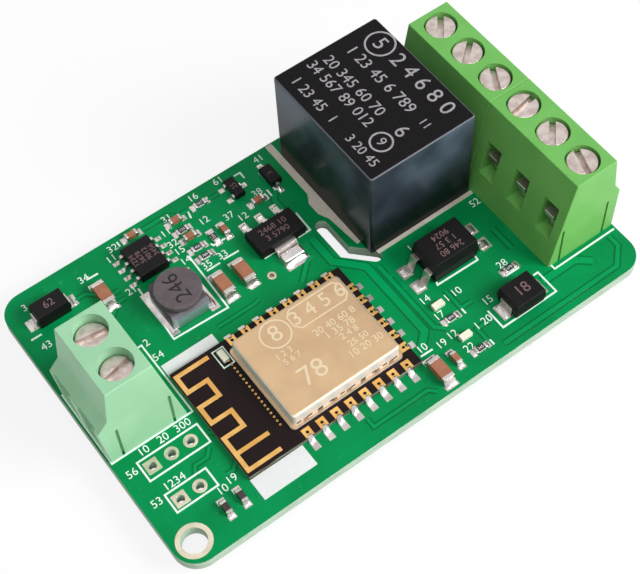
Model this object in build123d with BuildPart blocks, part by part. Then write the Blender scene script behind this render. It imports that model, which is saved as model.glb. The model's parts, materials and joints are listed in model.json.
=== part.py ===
from build123d import *
from math import radians, sin
import os

# A relay board with a radio module, a supply terminal and two output terminals.
# The origin is on the board's underside, on the axis of its screw hole.
# +X runs along the board from the supply terminal to the output terminals,
# +Y runs across it towards the relay, and +Z points up.

os.makedirs("parts", exist_ok=True)

# How far every cut runs past the face that it opens
overrun = 1.0

# Thickness of the copper and plating, and the gap around what seats in a hole
plating = 0.05
seat_gap = 0.05

# Circuit board
board_length = 65.6
board_width = 41.5
board_thickness = 1.6
board_corner_radius = 3.0
hole_from_left = 2.6
hole_from_front = 2.8
screw_hole_radius = 1.5

board_left = -hole_from_left
board_front = -hole_from_front
board_right = board_left + board_length
board_back = board_front + board_width
board_top = board_thickness


def on_board(x_share, y_share):
    """A place on the board, from shares of its length and width."""
    return board_left + x_share * board_length, board_front + y_share * board_width


# Terminal blocks, in a section that runs from the rear foot at zero to the wire side
block_pitch = 5.08
block_height = 14.1
block_depth = 10.1
rear_slope = 2.6
front_set_back = 1.6
shoulder_height = 8.7
shoulder_set_back = 0.9
lip_height = 7.2
supply_lip = 0.5
output_lip = 0.05
supply_edge_gap = 0.4
output_edge_gap = 0.1
supply_from_front = 15.95
output_from_front = 6.1
supply_ways = 2
output_ways = 3
output_blocks = 2

screw_line = (rear_slope + block_depth - front_set_back) / 2
supply_rear = board_left + supply_edge_gap + block_depth
output_rear = board_right - output_edge_gap - block_depth
supply_start = board_front + supply_from_front
output_start = board_front + output_from_front

# Chamber of one pole, where its clamp cage travels
chamber_width = 4.2
chamber_depth = 4.8
supply_floor = 1.8
output_floor = 2.2
entry_width = 3.4
entry_height = 2.8
mouth_drop = 1.2
mouth_over_lip = 0.4
window_width = 2.5
window_bottom = 3.7
window_top = 9.0
joint_slot_width = 0.35
joint_slot_depth = 0.45
joint_slot_height = 6.2
joint_slot_inset = 1.65
housing_edge = 0.12

# Clamp cage, screw and contact of one pole
cage_length = 4.2
cage_width = 3.6
cage_wall = 0.45
cage_sill = 0.8
cage_head = 1.0
cage_inner_height = 4.0
cage_floor_gap = 0.4
wire_gap = 2.8
cage_travel = 2.5
cage_ceiling_gap = 0.4
thread_radius = 1.25
thread_gap = 0.05
head_radius = 1.9
head_bore_radius = 2.05
head_height = 1.35
head_chamfer = 0.15
screw_slot_width = 0.75
screw_slot_depth = 0.8
supply_recess = 1.4
output_recess = 0.3
tongue_width = 1.6
tongue_thickness = 0.8
tongue_gap = 0.3
tongue_rear_gap = 1.5
leg_width = 1.0
leg_depth = 0.8
leg_rear = 2.4
pin_reach = 1.9

# Turn of each screw's slot from +X, in degrees, supply poles first
supply_slot_turns = (13, 172)
output_slot_turns = (72, 49, 10, 61, 40, 52)

# Relay
relay_width = 15.15
relay_length = 19.0
relay_height = 14.8
relay_gap = 0.25
relay_back_gap = 2.1
cover_wall = 0.8
cover_edge = 0.4
cover_top_edge = 0.25
base_standoff = 0.3
base_thickness = 1.4
yoke_thickness = 1.2
yoke_width = 9.0
core_radius = 1.9
core_from_hinge = 5.4
pole_radius = 2.8
pole_thickness = 0.5
bobbin_height = 6.05
bobbin_flange = 0.8
bobbin_tube_wall = 0.5
bobbin_width = 9.0
bobbin_foot_length = 13.2
coil_radius = 4.2
armature_gap = 0.75
armature_thickness = 1.0
armature_width = 8.0
armature_overhang = 0.6
armature_swing = 4
spring_thickness = 0.2
spring_width = 4.0
spring_lap = 6.0
spring_tip = 1.0
button_radius = 1.1
button_thickness = 0.3
rivet_radius = 0.6
contact_gap = 0.05
contact_from_back = 3.1
post_width = 1.4
post_thickness = 0.5
arm_thickness = 0.4
coil_pin_size = 0.6
relay_pin_offset = 5.9
coil_pin_set_back = 3.0
common_strip_width = 1.0
common_strip_height = 4.5

relay_right = output_rear - relay_gap
relay_left = relay_right - relay_width
relay_x = relay_right - relay_width / 2
relay_back = board_back - relay_back_gap
relay_front = relay_back - relay_length
relay_y = relay_back - relay_length / 2

# Isolation slot through the board, which bends round the relay's front left corner
slot_width = 1.65
slot_from_relay = 2.38
slot_reach = 6.85
slot_bend = 2.2
slot_tuck = 0.2
slot_drop = 0.5

# Radio module
radio_gap = 0.9
radio_from_front = 4.95
radio_length = 24.0
radio_width = 16.0
radio_thickness = 0.8
pad_pitch = 2.0
pad_length = 1.2
pad_width = 1.1
pad_via_radius = 0.2
pad_first = 8.3
end_pad_first = 2.65
side_pads = 8
end_pads = 6
notch_radius = 0.35
trace_width = 0.55
trace_left = 0.42
trace_row_pitch = 2.41
trace_row_count = 7
trace_top = 15.2
trace_long = 4.85
trace_short = 3.1
lid_length = 15.0
lid_width = 12.2
lid_height = 2.4
lid_wall = 0.2
lid_from_left = 7.4
lid_corner = 0.5
lid_edge = 0.3
lid_notch_width = 0.7
lid_notch_height = 0.45
lid_notch_first = 1.65
flange_width = 0.3
flange_thickness = 0.25
fence_height = 1.3

radio_left = supply_rear + radio_gap
radio_front = board_front + radio_from_front
radio_right = radio_left + radio_length
radio_back = radio_front + radio_width
radio_top = board_top + radio_thickness

# Header holes and the bare via
header_pitch = 2.54
header_hole_radius = 0.5
header_pad_radius = 0.85
long_header_places = 3
short_header_places = 2
long_header_share = (0.0965, 0.3115)
short_header_share = (0.082, 0.1865)
via_share = (0.4375, 0.6065)
via_radius = 0.3
via_pad_radius = 0.55

# Holes and solder of the pins that pass through the board
terminal_hole_radius = 0.75
relay_hole_radius = 0.7
solder_height = 1.1
solder_foot_radius = 1.15
solder_tip_radius = 0.75
solder_taper = 20

# Converter chip
chip_length = 3.9
chip_width = 4.9
chip_height = 1.45
chip_standoff = 0.1
chip_share = (0.2706, 0.868)
chip_lead_pitch = 1.27
chip_lead_width = 0.42
chip_lead_reach = 1.05
chip_lead_foot = 0.5
chip_leads_per_side = 4

# Shared by all moulded bodies and their leads
draft_angle = 6
mould_edge = 0.08
lead_thickness = 0.2

# Inductor
inductor_share = (0.2745, 0.6945)
inductor_radius = 2.9
inductor_height = 3.2
inductor_base_length = 5.0
inductor_base_width = 6.2
inductor_base_corner = 0.4
inductor_base_thickness = 1.7
inductor_cap_thickness = 0.8
inductor_drum_radius = 1.7
inductor_winding_radius = 2.6
inductor_foot_length = 1.5
inductor_foot_thickness = 0.15
inductor_foot_reach = 0.35

# Linear regulator
regulator_share = (0.4925, 0.7085)
regulator_length = 6.6
regulator_width = 3.6
regulator_height = 1.6
regulator_standoff = 0.05
regulator_lead_count = 3
regulator_lead_pitch = 2.3
regulator_lead_width = 0.72
regulator_lead_reach = 1.65
regulator_lead_foot = 0.8
regulator_tab_width = 3.0
tab_solder_height = 0.8
tab_solder_reach = 0.95
tab_solder_round = 0.35

# Optocoupler
opto_share = (0.709, 0.3515)
opto_length = 6.5
opto_width = 4.6
opto_height = 3.5
opto_standoff = 0.2
opto_lead_pitch = 2.54
opto_lead_width = 1.1
opto_lead_reach = 1.75
opto_lead_foot = 0.9

# Diodes and transistor
input_diode_share = (0.077, 0.885)
input_diode_length = 4.3
input_diode_width = 2.6
input_diode_height = 2.2
output_diode_share = (0.7615, 0.112)
output_diode_length = 4.4
output_diode_width = 3.6
output_diode_height = 2.3
diode_standoff = 0.1
diode_lead_reach = 0.55
diode_lead_foot = 0.4
diode_lead_width_share = 0.55
coil_diode_share = (0.5617, 0.8903)
coil_diode_length = 2.8
coil_diode_width = 1.6
coil_diode_height = 1.1
transistor_share = (0.4916, 0.919)
transistor_length = 2.9
transistor_width = 1.35
transistor_height = 1.0
transistor_lead_spread = 1.9
small_lead_width = 0.45
small_lead_reach = 0.6
small_lead_foot = 0.3

# Chip parts, each place as shares of the board, with its turn in degrees
large_chip_length = 3.2
large_chip_width = 1.6
large_chip_height = 1.25
large_chip_end = 0.5
small_chip_length = 1.6
small_chip_width = 0.82
small_capacitor_height = 0.8
resistor_height = 0.45
small_chip_end = 0.32
end_step = 0.04
large_capacitor_shares = (
    (0.1707, 0.841, 90),
    (0.3545, 0.659, 90),
    (0.3995, 0.659, 90),
    (0.5550, 0.066, 90),
)
small_capacitor_shares = (
    (0.2800, 0.9675, 0),
    (0.3630, 0.9328, 0),
    (0.3652, 0.8593, 0),
    (0.5117, 0.8436, 0),
    (0.4245, 0.8170, 90),
    (0.5922, 0.0725, 90),
    (0.1136, 0.0892, 90),
    (0.1460, 0.0925, 90),
)
resistor_shares = (
    (0.3620, 0.8925, 0),
    (0.3634, 0.8145, 0),
    (0.3645, 0.7773, 0),
    (0.4212, 0.9402, 0),
    (0.7872, 0.2100, 0),
    (0.6378, 0.1817, 0),
    (0.6404, 0.0571, 0),
    (0.4005, 0.8165, 90),
)
led_shares = (
    (0.6358, 0.2369, 0),
    (0.6348, 0.1130, 0),
)
led_length = 1.6
led_width = 0.8
led_height = 0.6
radio_led_share = (0.2583, 0.8844)

# Chips under the shield, as shares of the lid's length and width from its middle
processor_side = 5.0
processor_height = 0.85
processor_share = (-0.18, -0.1)
memory_side = 5.3
memory_height = 1.5
memory_share = (0.25, 0.12)
crystal_length = 3.2
crystal_width = 2.5
crystal_height = 0.7
crystal_share = (-0.2, 0.32)


def pole_lines(start, ways):
    """The middle of each pole of a terminal block, along the board."""
    return [start + block_pitch * (way + 0.5) for way in range(ways)]


def up_plane(x, y, z, direction):
    """A plane whose own x runs along direction and whose own y runs up."""
    along = Vector(*direction)
    return Plane(origin=(x, y, z), x_dir=along, z_dir=along.cross(Vector(0, 0, 1)))


supply_poles = pole_lines(supply_start, supply_ways)
output_poles = pole_lines(output_start, output_ways * output_blocks)
supply_screw_x = supply_rear - screw_line
output_screw_x = output_rear + screw_line
pin_line = leg_rear + leg_depth / 2

# Heights of the pieces in a pole, above the board
supply_cage = supply_floor + cage_floor_gap
output_cage = output_floor + cage_floor_gap
cage_height = cage_sill + cage_inner_height + cage_head

# Pins of the relay: x, y, width along X and width along Y
inner_back = relay_back - cover_wall - seat_gap
inner_front = relay_front + cover_wall + seat_gap
post_y = inner_back - post_thickness / 2
common_y = inner_front + post_thickness / 2
hinge_y = inner_front + post_thickness + yoke_thickness
core_y = hinge_y + core_from_hinge
contact_y = relay_back - contact_from_back
coil_pin_y = core_y - coil_pin_set_back
relay_pins = (
    (relay_x - relay_pin_offset, coil_pin_y, coil_pin_size, coil_pin_size),
    (relay_x + relay_pin_offset, coil_pin_y, coil_pin_size, coil_pin_size),
    (relay_x, common_y, common_strip_width, post_thickness),
    (relay_x - relay_pin_offset, post_y, common_strip_width, post_thickness),
    (relay_x + relay_pin_offset, post_y, common_strip_width, post_thickness),
)

terminal_pins = [
    (supply_rear - pin_line, y, leg_depth, leg_width) for y in supply_poles
] + [(output_rear + pin_line, y, leg_depth, leg_width) for y in output_poles]

# Turning point of the isolation slot, its back end and its hidden end
slot_corner = (relay_left - slot_from_relay, relay_front + slot_bend)
slot_back_end = (relay_left - slot_from_relay, relay_front + slot_reach)
slot_hidden_end = (relay_left + slot_tuck, relay_front - slot_drop)

# Circuit board with every hole that goes through it
long_header = on_board(*long_header_share)
short_header = on_board(*short_header_share)
via_place = on_board(*via_share)

with BuildPart() as circuit_board:
    with BuildSketch(Plane.XY):
        with Locations((board_left, board_front)):
            RectangleRounded(
                board_length,
                board_width,
                board_corner_radius,
                align=(Align.MIN, Align.MIN),
            )
        Circle(screw_hole_radius, mode=Mode.SUBTRACT)
        with Locations(long_header):
            with GridLocations(header_pitch, 0, long_header_places, 1):
                Circle(header_hole_radius, mode=Mode.SUBTRACT)
        with Locations(short_header):
            with GridLocations(header_pitch, 0, short_header_places, 1):
                Circle(header_hole_radius, mode=Mode.SUBTRACT)
        with Locations(via_place):
            Circle(via_radius + plating, mode=Mode.SUBTRACT)
        with Locations(*[(x, y) for x, y, _, _ in terminal_pins]):
            Circle(terminal_hole_radius, mode=Mode.SUBTRACT)
        with Locations(*[(x, y) for x, y, _, _ in relay_pins]):
            Circle(relay_hole_radius, mode=Mode.SUBTRACT)
        with BuildSketch(mode=Mode.PRIVATE) as isolation_slot:
            with BuildLine():
                Polyline(slot_back_end, slot_corner, slot_hidden_end)
            trace(line_width=slot_width)
            with Locations(slot_back_end, slot_corner, slot_hidden_end):
                Circle(slot_width / 2)
        add(isolation_slot.sketch, mode=Mode.SUBTRACT)
    extrude(amount=board_thickness)
circuit_board.part.label = "circuit_board"
export_step(circuit_board.part, "parts/circuit_board.step")


def hole_rings(places, hole_radius, pad_radius):
    """Flat rings on both faces of the board, round the holes at the places."""
    with BuildPart() as rings:
        for x, y in places:
            for level, side in ((board_top, Align.MIN), (0, Align.MAX)):
                with Locations((x, y, level)):
                    Cylinder(
                        pad_radius,
                        plating,
                        align=(Align.CENTER, Align.CENTER, side),
                    )
            with Locations((x, y, board_thickness / 2)):
                Cylinder(hole_radius, board_thickness + overrun, mode=Mode.SUBTRACT)
    return rings.part


# Rings of the two headers' holes, and the bare via with its barrel
header_places = [
    (long_header[0] + header_pitch * (index - (long_header_places - 1) / 2), long_header[1])
    for index in range(long_header_places)
] + [
    (short_header[0] + header_pitch * (index - (short_header_places - 1) / 2), short_header[1])
    for index in range(short_header_places)
]
with BuildPart() as header_pads:
    add(hole_rings(header_places, header_hole_radius, header_pad_radius))
    add(hole_rings([via_place], via_radius, via_pad_radius))
    with Locations((*via_place, 0)):
        Cylinder(
            via_radius + plating,
            board_thickness,
            align=(Align.CENTER, Align.CENTER, Align.MIN),
        )
    with Locations((*via_place, 0)):
        Cylinder(via_radius, board_thickness * 2, mode=Mode.SUBTRACT)
    # The first pad of each header is square
    for x, y in (header_places[0], header_places[long_header_places]):
        with Locations((x, y, board_top)):
            Box(
                header_pad_radius * 2,
                header_pad_radius * 2,
                plating,
                align=(Align.CENTER, Align.CENTER, Align.MIN),
            )
        with Locations((x, y, board_top)):
            Cylinder(header_hole_radius, overrun, mode=Mode.SUBTRACT)
header_pads.part.label = "header_pads"
export_step(header_pads.part, "parts/header_pads.step")


def solder_joints(pins, hole_radius):
    """Solder that fills each pin's hole and rises to a cone under the board."""
    with BuildPart() as joints:
        for x, y, width, depth in pins:
            with Locations((x, y, 0)):
                Cylinder(
                    hole_radius,
                    board_thickness,
                    align=(Align.CENTER, Align.CENTER, Align.MIN),
                )
                Cone(
                    solder_tip_radius,
                    solder_foot_radius,
                    solder_height,
                    align=(Align.CENTER, Align.CENTER, Align.MAX),
                )
            with Locations((x, y, 0)):
                Box(width, depth, (board_thickness + solder_height) * 2 + overrun, mode=Mode.SUBTRACT)
    return joints.part


def terminal_housing(rear, start, ways, facing, lip, recess, floor):
    """A terminal block's moulding. It faces +X where facing is 1 and -X where it is -1."""
    length = block_pitch * ways
    poles = pole_lines(start, ways)
    ceiling = floor + cage_floor_gap + cage_height + cage_travel + cage_ceiling_gap
    chamber_x = rear + facing * screw_line
    with BuildPart() as housing:
        with BuildSketch(up_plane(rear, start, board_top, (facing, 0, 0))):
            with BuildLine():
                Polyline(
                    (0, 0),
                    (rear_slope, block_height),
                    (block_depth - front_set_back, block_height),
                    (block_depth - shoulder_set_back, shoulder_height),
                    (block_depth + lip, lip_height),
                    (block_depth, 0),
                    close=True,
                )
            make_face()
        extrude(amount=-facing * length)
        upper_edges = housing.edges().filter_by(lambda edge: edge.center().Z > board_top + seat_gap)
        fillet(upper_edges, housing_edge)
        # Joining ribs stand on the far end
        with BuildSketch(Plane.XY.offset(board_top)):
            with Locations(
                (rear + facing * joint_slot_inset, start + length),
                (rear + facing * (block_depth - joint_slot_inset), start + length),
            ):
                Rectangle(
                    joint_slot_width - seat_gap * 2,
                    (joint_slot_depth - seat_gap) * 2,
                )
        extrude(amount=joint_slot_height - seat_gap)
        for y in poles:
            with Locations((chamber_x, y, board_top + floor)):
                Box(
                    chamber_depth,
                    chamber_width,
                    ceiling - floor,
                    align=(Align.CENTER, Align.CENTER, Align.MIN),
                    mode=Mode.SUBTRACT,
                )
            # Wire entry, higher at its mouth, where it cuts into the lip
            entry_sill = floor + cage_floor_gap + cage_sill
            entry_start = screw_line + chamber_depth / 2 - seat_gap
            with BuildSketch(up_plane(rear, y, board_top, (facing, 0, 0))):
                with BuildLine():
                    Polyline(
                        (entry_start, entry_sill),
                        (entry_start, entry_sill + entry_height),
                        (block_depth + lip, lip_height + mouth_over_lip),
                        (block_depth + lip + overrun, lip_height + mouth_over_lip),
                        (block_depth + lip + overrun, entry_sill - mouth_drop),
                        (block_depth, entry_sill - mouth_drop),
                        close=True,
                    )
                make_face()
            extrude(amount=entry_width / 2, both=True, mode=Mode.SUBTRACT)
            # Window in the sloping rear wall
            with Locations((rear, y, board_top + window_bottom)):
                Box(
                    (screw_line - chamber_depth / 2) * 2,
                    window_width,
                    window_top - window_bottom,
                    align=(Align.CENTER, Align.CENTER, Align.MIN),
                    mode=Mode.SUBTRACT,
                )
            # Slot that the contact's leg passes through on its way to the board
            with Locations((rear + facing * pin_line, y, board_top)):
                Box(
                    leg_depth + seat_gap * 2,
                    leg_width + seat_gap * 2,
                    window_bottom * 2,
                    mode=Mode.SUBTRACT,
                )
            # Bore of the screw's head, and the hole that guides its shank
            with Locations((chamber_x, y, board_top + block_height)):
                CounterBoreHole(
                    radius=thread_radius + thread_gap,
                    counter_bore_radius=head_bore_radius,
                    counter_bore_depth=recess + head_height,
                    depth=block_height - floor - cage_height,
                )
        # Joining slots open on the near end and the underside
        with Locations(
            (rear + facing * joint_slot_inset, start, board_top),
            (rear + facing * (block_depth - joint_slot_inset), start, board_top),
        ):
            Box(
                joint_slot_width,
                joint_slot_depth * 2,
                joint_slot_height * 2,
                mode=Mode.SUBTRACT,
            )
    return housing.part


with BuildPart() as supply_terminal_housing:
    add(
        terminal_housing(
            supply_rear, supply_start, supply_ways, -1, supply_lip, supply_recess, supply_floor
        )
    )
supply_terminal_housing.part.label = "supply_terminal_housing"
export_step(supply_terminal_housing.part, "parts/supply_terminal_housing.step")

for block in range(output_blocks):
    block_start = output_start + block_pitch * output_ways * block
    with BuildPart() as output_terminal_housing:
        add(
            terminal_housing(
                output_rear, block_start, output_ways, 1, output_lip, output_recess, output_floor
            )
        )
    output_terminal_housing.part.label = f"output_terminal_housing_{block + 1}"
    export_step(
        output_terminal_housing.part, f"parts/output_terminal_housing_{block + 1}.step"
    )


def terminal_contact(rear, y, facing, cage):
    """A pole's fixed contact: a tongue through the cage, a leg and a solder pin."""
    tongue_bottom = board_top + cage + cage_sill + wire_gap
    tongue_front = screw_line + chamber_depth / 2
    leg_x = rear + facing * pin_line
    with BuildPart() as contact:
        with Locations((rear + facing * (tongue_rear_gap + tongue_front) / 2, y, tongue_bottom)):
            Box(
                tongue_front - tongue_rear_gap,
                tongue_width,
                tongue_thickness,
                align=(Align.CENTER, Align.CENTER, Align.MIN),
            )
        with Locations((leg_x, y, -pin_reach)):
            Box(
                leg_depth,
                leg_width,
                tongue_bottom + pin_reach,
                align=(Align.CENTER, Align.CENTER, Align.MIN),
            )
    return contact.part


with BuildPart() as supply_terminal_contacts:
    for pole_y in supply_poles:
        add(terminal_contact(supply_rear, pole_y, -1, supply_cage))
supply_terminal_contacts.part.label = "supply_terminal_contacts"
export_step(supply_terminal_contacts.part, "parts/supply_terminal_contacts.step")

with BuildPart() as output_terminal_contacts:
    for pole_y in output_poles:
        add(terminal_contact(output_rear, pole_y, 1, output_cage))
output_terminal_contacts.part.label = "output_terminal_contacts"
export_step(output_terminal_contacts.part, "parts/output_terminal_contacts.step")


def terminal_screw(x, y, recess, cage, slot_turn):
    """A captive terminal screw with a slotted head, standing clear of the tongue."""
    head_top = board_top + block_height - recess
    shank_tip = board_top + cage + cage_sill + wire_gap + tongue_thickness + tongue_gap
    with BuildPart() as screw:
        with BuildSketch(Plane.XY.offset(head_top)):
            with Locations((x, y)):
                Circle(head_radius)
        extrude(amount=-head_height)
        chamfer(screw.edges().group_by(Axis.Z)[-1], head_chamfer)
        with BuildSketch(Plane.XY.offset(head_top)):
            with Locations((x, y)):
                Circle(thread_radius)
        extrude(amount=shank_tip - head_top)
        with BuildSketch(Plane.XY.offset(head_top)):
            with Locations((x, y)):
                Rectangle(head_radius * 2 + overrun, screw_slot_width, rotation=slot_turn)
        extrude(amount=-screw_slot_depth, mode=Mode.SUBTRACT)
    return screw.part


def clamp_cage(x, y, cage):
    """The cage that a pole's screw lifts: a square ring with a threaded head."""
    with BuildPart() as ring:
        with Locations((x, y, board_top + cage)):
            Box(
                cage_length,
                cage_width,
                cage_height,
                align=(Align.CENTER, Align.CENTER, Align.MIN),
            )
        with Locations((x, y, board_top + cage + cage_sill)):
            Box(
                cage_length + overrun,
                cage_width - cage_wall * 2,
                cage_inner_height,
                align=(Align.CENTER, Align.CENTER, Align.MIN),
                mode=Mode.SUBTRACT,
            )
        with Locations((x, y, board_top + cage + cage_height)):
            Hole(thread_radius + thread_gap, depth=cage_head + overrun)
    return ring.part


for pole, pole_y in enumerate(supply_poles):
    with BuildPart() as supply_screw:
        add(
            terminal_screw(
                supply_screw_x, pole_y, supply_recess, supply_cage, supply_slot_turns[pole]
            )
        )
    supply_screw.part.label = f"supply_screw_{pole + 1}"
    export_step(supply_screw.part, f"parts/supply_screw_{pole + 1}.step")
    with BuildPart() as supply_clamp_cage:
        add(clamp_cage(supply_screw_x, pole_y, supply_cage))
    supply_clamp_cage.part.label = f"supply_clamp_cage_{pole + 1}"
    export_step(supply_clamp_cage.part, f"parts/supply_clamp_cage_{pole + 1}.step")

for pole, pole_y in enumerate(output_poles):
    with BuildPart() as output_screw:
        add(
            terminal_screw(
                output_screw_x, pole_y, output_recess, output_cage, output_slot_turns[pole]
            )
        )
    output_screw.part.label = f"output_screw_{pole + 1}"
    export_step(output_screw.part, f"parts/output_screw_{pole + 1}.step")
    with BuildPart() as output_clamp_cage:
        add(clamp_cage(output_screw_x, pole_y, output_cage))
    output_clamp_cage.part.label = f"output_clamp_cage_{pole + 1}"
    export_step(output_clamp_cage.part, f"parts/output_clamp_cage_{pole + 1}.step")

# Relay cover, a shell that is open at the board
with BuildPart() as relay_cover:
    with BuildSketch(Plane.XY.offset(board_top)):
        with Locations((relay_x, relay_y)):
            Rectangle(relay_width, relay_length)
    extrude(amount=relay_height)
    fillet(relay_cover.edges().filter_by(Axis.Z), cover_edge)
    fillet(relay_cover.faces().sort_by(Axis.Z)[-1].edges(), cover_top_edge)
    with BuildSketch(Plane.XY.offset(board_top)):
        with Locations((relay_x, relay_y)):
            Rectangle(relay_width - cover_wall * 2, relay_length - cover_wall * 2)
    extrude(amount=relay_height - cover_wall, mode=Mode.SUBTRACT)
relay_cover.part.label = "relay_cover"
export_step(relay_cover.part, "parts/relay_cover.step")

# Heights inside the relay
base_bottom = board_top + base_standoff
base_top = base_bottom + base_thickness
bobbin_bottom = base_top + yoke_thickness
bobbin_top = bobbin_bottom + bobbin_height
pole_top = bobbin_top + pole_thickness
armature_bottom = pole_top + armature_gap
armature_top = armature_bottom + armature_thickness
spring_top = armature_top + spring_thickness
closed_contact_face = spring_top + button_thickness + contact_gap
contact_reach = contact_y - hinge_y + button_radius
open_contact_face = (
    armature_top - button_thickness - contact_gap - contact_reach * sin(radians(armature_swing))
)

# Relay base with a hole for each pin
with BuildPart() as relay_base:
    with BuildSketch(Plane.XY.offset(base_bottom)):
        with Locations((relay_x, relay_y)):
            Rectangle(
                relay_width - (cover_wall + seat_gap) * 2,
                relay_length - (cover_wall + seat_gap) * 2,
            )
        for pin_x, pin_y, pin_width, pin_depth in relay_pins:
            with Locations((pin_x, pin_y)):
                Rectangle(
                    pin_width + seat_gap * 2, pin_depth + seat_gap * 2, mode=Mode.SUBTRACT
                )
    extrude(amount=base_thickness)
relay_base.part.label = "relay_base"
export_step(relay_base.part, "parts/relay_base.step")

# Yoke, an angle of iron under and behind the coil, with a hole for the core's foot
with BuildPart() as relay_yoke:
    with BuildSketch(up_plane(relay_x, hinge_y, base_top, (0, 1, 0))):
        with BuildLine():
            Polyline(
                (-yoke_thickness, 0),
                (core_from_hinge + pole_radius, 0),
                (core_from_hinge + pole_radius, yoke_thickness),
                (0, yoke_thickness),
                (0, armature_bottom - contact_gap - base_top),
                (-yoke_thickness, armature_bottom - contact_gap - base_top),
                close=True,
            )
        make_face()
    extrude(amount=yoke_width / 2, both=True)
    with Locations((relay_x, core_y, bobbin_bottom)):
        Hole(core_radius, depth=yoke_thickness + overrun)
relay_yoke.part.label = "relay_yoke"
export_step(relay_yoke.part, "parts/relay_yoke.step")

# Core with its pole face
with BuildPart() as relay_core:
    with BuildSketch(Plane.XY.offset(base_top)):
        with Locations((relay_x, core_y)):
            Circle(core_radius)
    extrude(amount=pole_top - base_top)
    with BuildSketch(Plane.XY.offset(bobbin_top)):
        with Locations((relay_x, core_y)):
            Circle(pole_radius)
    extrude(amount=pole_thickness)
relay_core.part.label = "relay_core"
export_step(relay_core.part, "parts/relay_core.step")

# Bobbin: two flanges on a tube, the lower one long enough to reach the coil pins
with BuildPart() as relay_bobbin:
    with BuildSketch(Plane.XY.offset(bobbin_bottom)):
        with Locations((relay_x, core_y)):
            Rectangle(bobbin_foot_length, bobbin_width)
    extrude(amount=bobbin_flange)
    with BuildSketch(Plane.XY.offset(bobbin_top)):
        with Locations((relay_x, core_y)):
            Rectangle(bobbin_width, bobbin_width)
    extrude(amount=-bobbin_flange)
    with BuildSketch(Plane.XY.offset(bobbin_bottom)):
        with Locations((relay_x, core_y)):
            Circle(core_radius + bobbin_tube_wall)
    extrude(amount=bobbin_height)
    with Locations((relay_x, core_y, bobbin_top)):
        Hole(core_radius, depth=bobbin_height + overrun)
relay_bobbin.part.label = "relay_bobbin"
export_step(relay_bobbin.part, "parts/relay_bobbin.step")

# Coil, wound on the bobbin's tube between its flanges
with BuildPart() as relay_coil:
    with BuildSketch(Plane.XY.offset(bobbin_bottom + bobbin_flange)):
        with Locations((relay_x, core_y)):
            Circle(coil_radius)
            Circle(core_radius + bobbin_tube_wall, mode=Mode.SUBTRACT)
    extrude(amount=bobbin_height - bobbin_flange * 2)
relay_coil.part.label = "relay_coil"
export_step(relay_coil.part, "parts/relay_coil.step")

# Armature, which rocks on the yoke's inner edge
with BuildPart() as relay_armature:
    with BuildSketch(Plane.XY.offset(armature_bottom)):
        with Locations((relay_x, hinge_y - yoke_thickness)):
            Rectangle(
                armature_width,
                yoke_thickness + core_from_hinge + pole_radius + armature_overhang,
                align=(Align.CENTER, Align.MIN),
            )
    extrude(amount=armature_thickness)
relay_armature.part.label = "relay_armature"
export_step(relay_armature.part, "parts/relay_armature.step")

# Contact spring, a leaf on the armature that carries the moving contact
spring_start = core_y + pole_radius + armature_overhang - spring_lap
with BuildPart() as relay_contact_spring:
    with BuildSketch(Plane.XY.offset(armature_top)):
        with Locations((relay_x, spring_start)):
            Rectangle(
                spring_width,
                contact_y + button_radius + spring_tip - spring_start,
                align=(Align.CENTER, Align.MIN),
            )
        with Locations((relay_x, contact_y)):
            Circle(rivet_radius, mode=Mode.SUBTRACT)
    extrude(amount=spring_thickness)
relay_contact_spring.part.label = "relay_contact_spring"
export_step(relay_contact_spring.part, "parts/relay_contact_spring.step")

# Moving contact, riveted through the spring with a button on each side
with BuildPart() as relay_moving_contact:
    with BuildSketch(Plane.XY.offset(armature_top - button_thickness)):
        with Locations((relay_x, contact_y)):
            Circle(button_radius)
    extrude(amount=button_thickness)
    with BuildSketch(Plane.XY.offset(spring_top)):
        with Locations((relay_x, contact_y)):
            Circle(button_radius)
    extrude(amount=button_thickness)
    with BuildSketch(Plane.XY.offset(armature_top)):
        with Locations((relay_x, contact_y)):
            Circle(rivet_radius)
    extrude(amount=spring_thickness)
relay_moving_contact.part.label = "relay_moving_contact"
export_step(relay_moving_contact.part, "parts/relay_moving_contact.step")


def fixed_contact(side, face, rise):
    """A fixed contact on its post. Its button points down where rise is 1, up where it is -1."""
    arm_face = face + rise * button_thickness
    arm_end = button_radius
    post_x = relay_x + side * relay_pin_offset
    arm_outer = relay_x + side * (relay_pin_offset + post_width / 2)
    arm_inner = relay_x - side * arm_end
    arm_middle = arm_face + rise * arm_thickness / 2
    with BuildPart() as contact:
        with Locations((relay_x, contact_y, (face + arm_face) / 2)):
            Cylinder(button_radius, button_thickness)
        with Locations(((arm_outer + arm_inner) / 2, inner_back, arm_middle)):
            Box(
                abs(arm_outer - arm_inner),
                inner_back - contact_y + button_radius,
                arm_thickness,
                align=(Align.CENTER, Align.MAX, Align.CENTER),
            )
        with Locations((post_x, post_y, base_top)):
            Box(
                post_width,
                post_thickness,
                arm_middle - base_top,
                align=(Align.CENTER, Align.CENTER, Align.MIN),
            )
        with Locations((post_x, post_y, -pin_reach)):
            Box(
                common_strip_width,
                post_thickness,
                base_top + pin_reach,
                align=(Align.CENTER, Align.CENTER, Align.MIN),
            )
    return contact.part


with BuildPart() as relay_closed_contact:
    add(fixed_contact(-1, closed_contact_face, 1))
relay_closed_contact.part.label = "relay_closed_contact"
export_step(relay_closed_contact.part, "parts/relay_closed_contact.step")

with BuildPart() as relay_open_contact:
    add(fixed_contact(1, open_contact_face, -1))
relay_open_contact.part.label = "relay_open_contact"
export_step(relay_open_contact.part, "parts/relay_open_contact.step")

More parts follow.
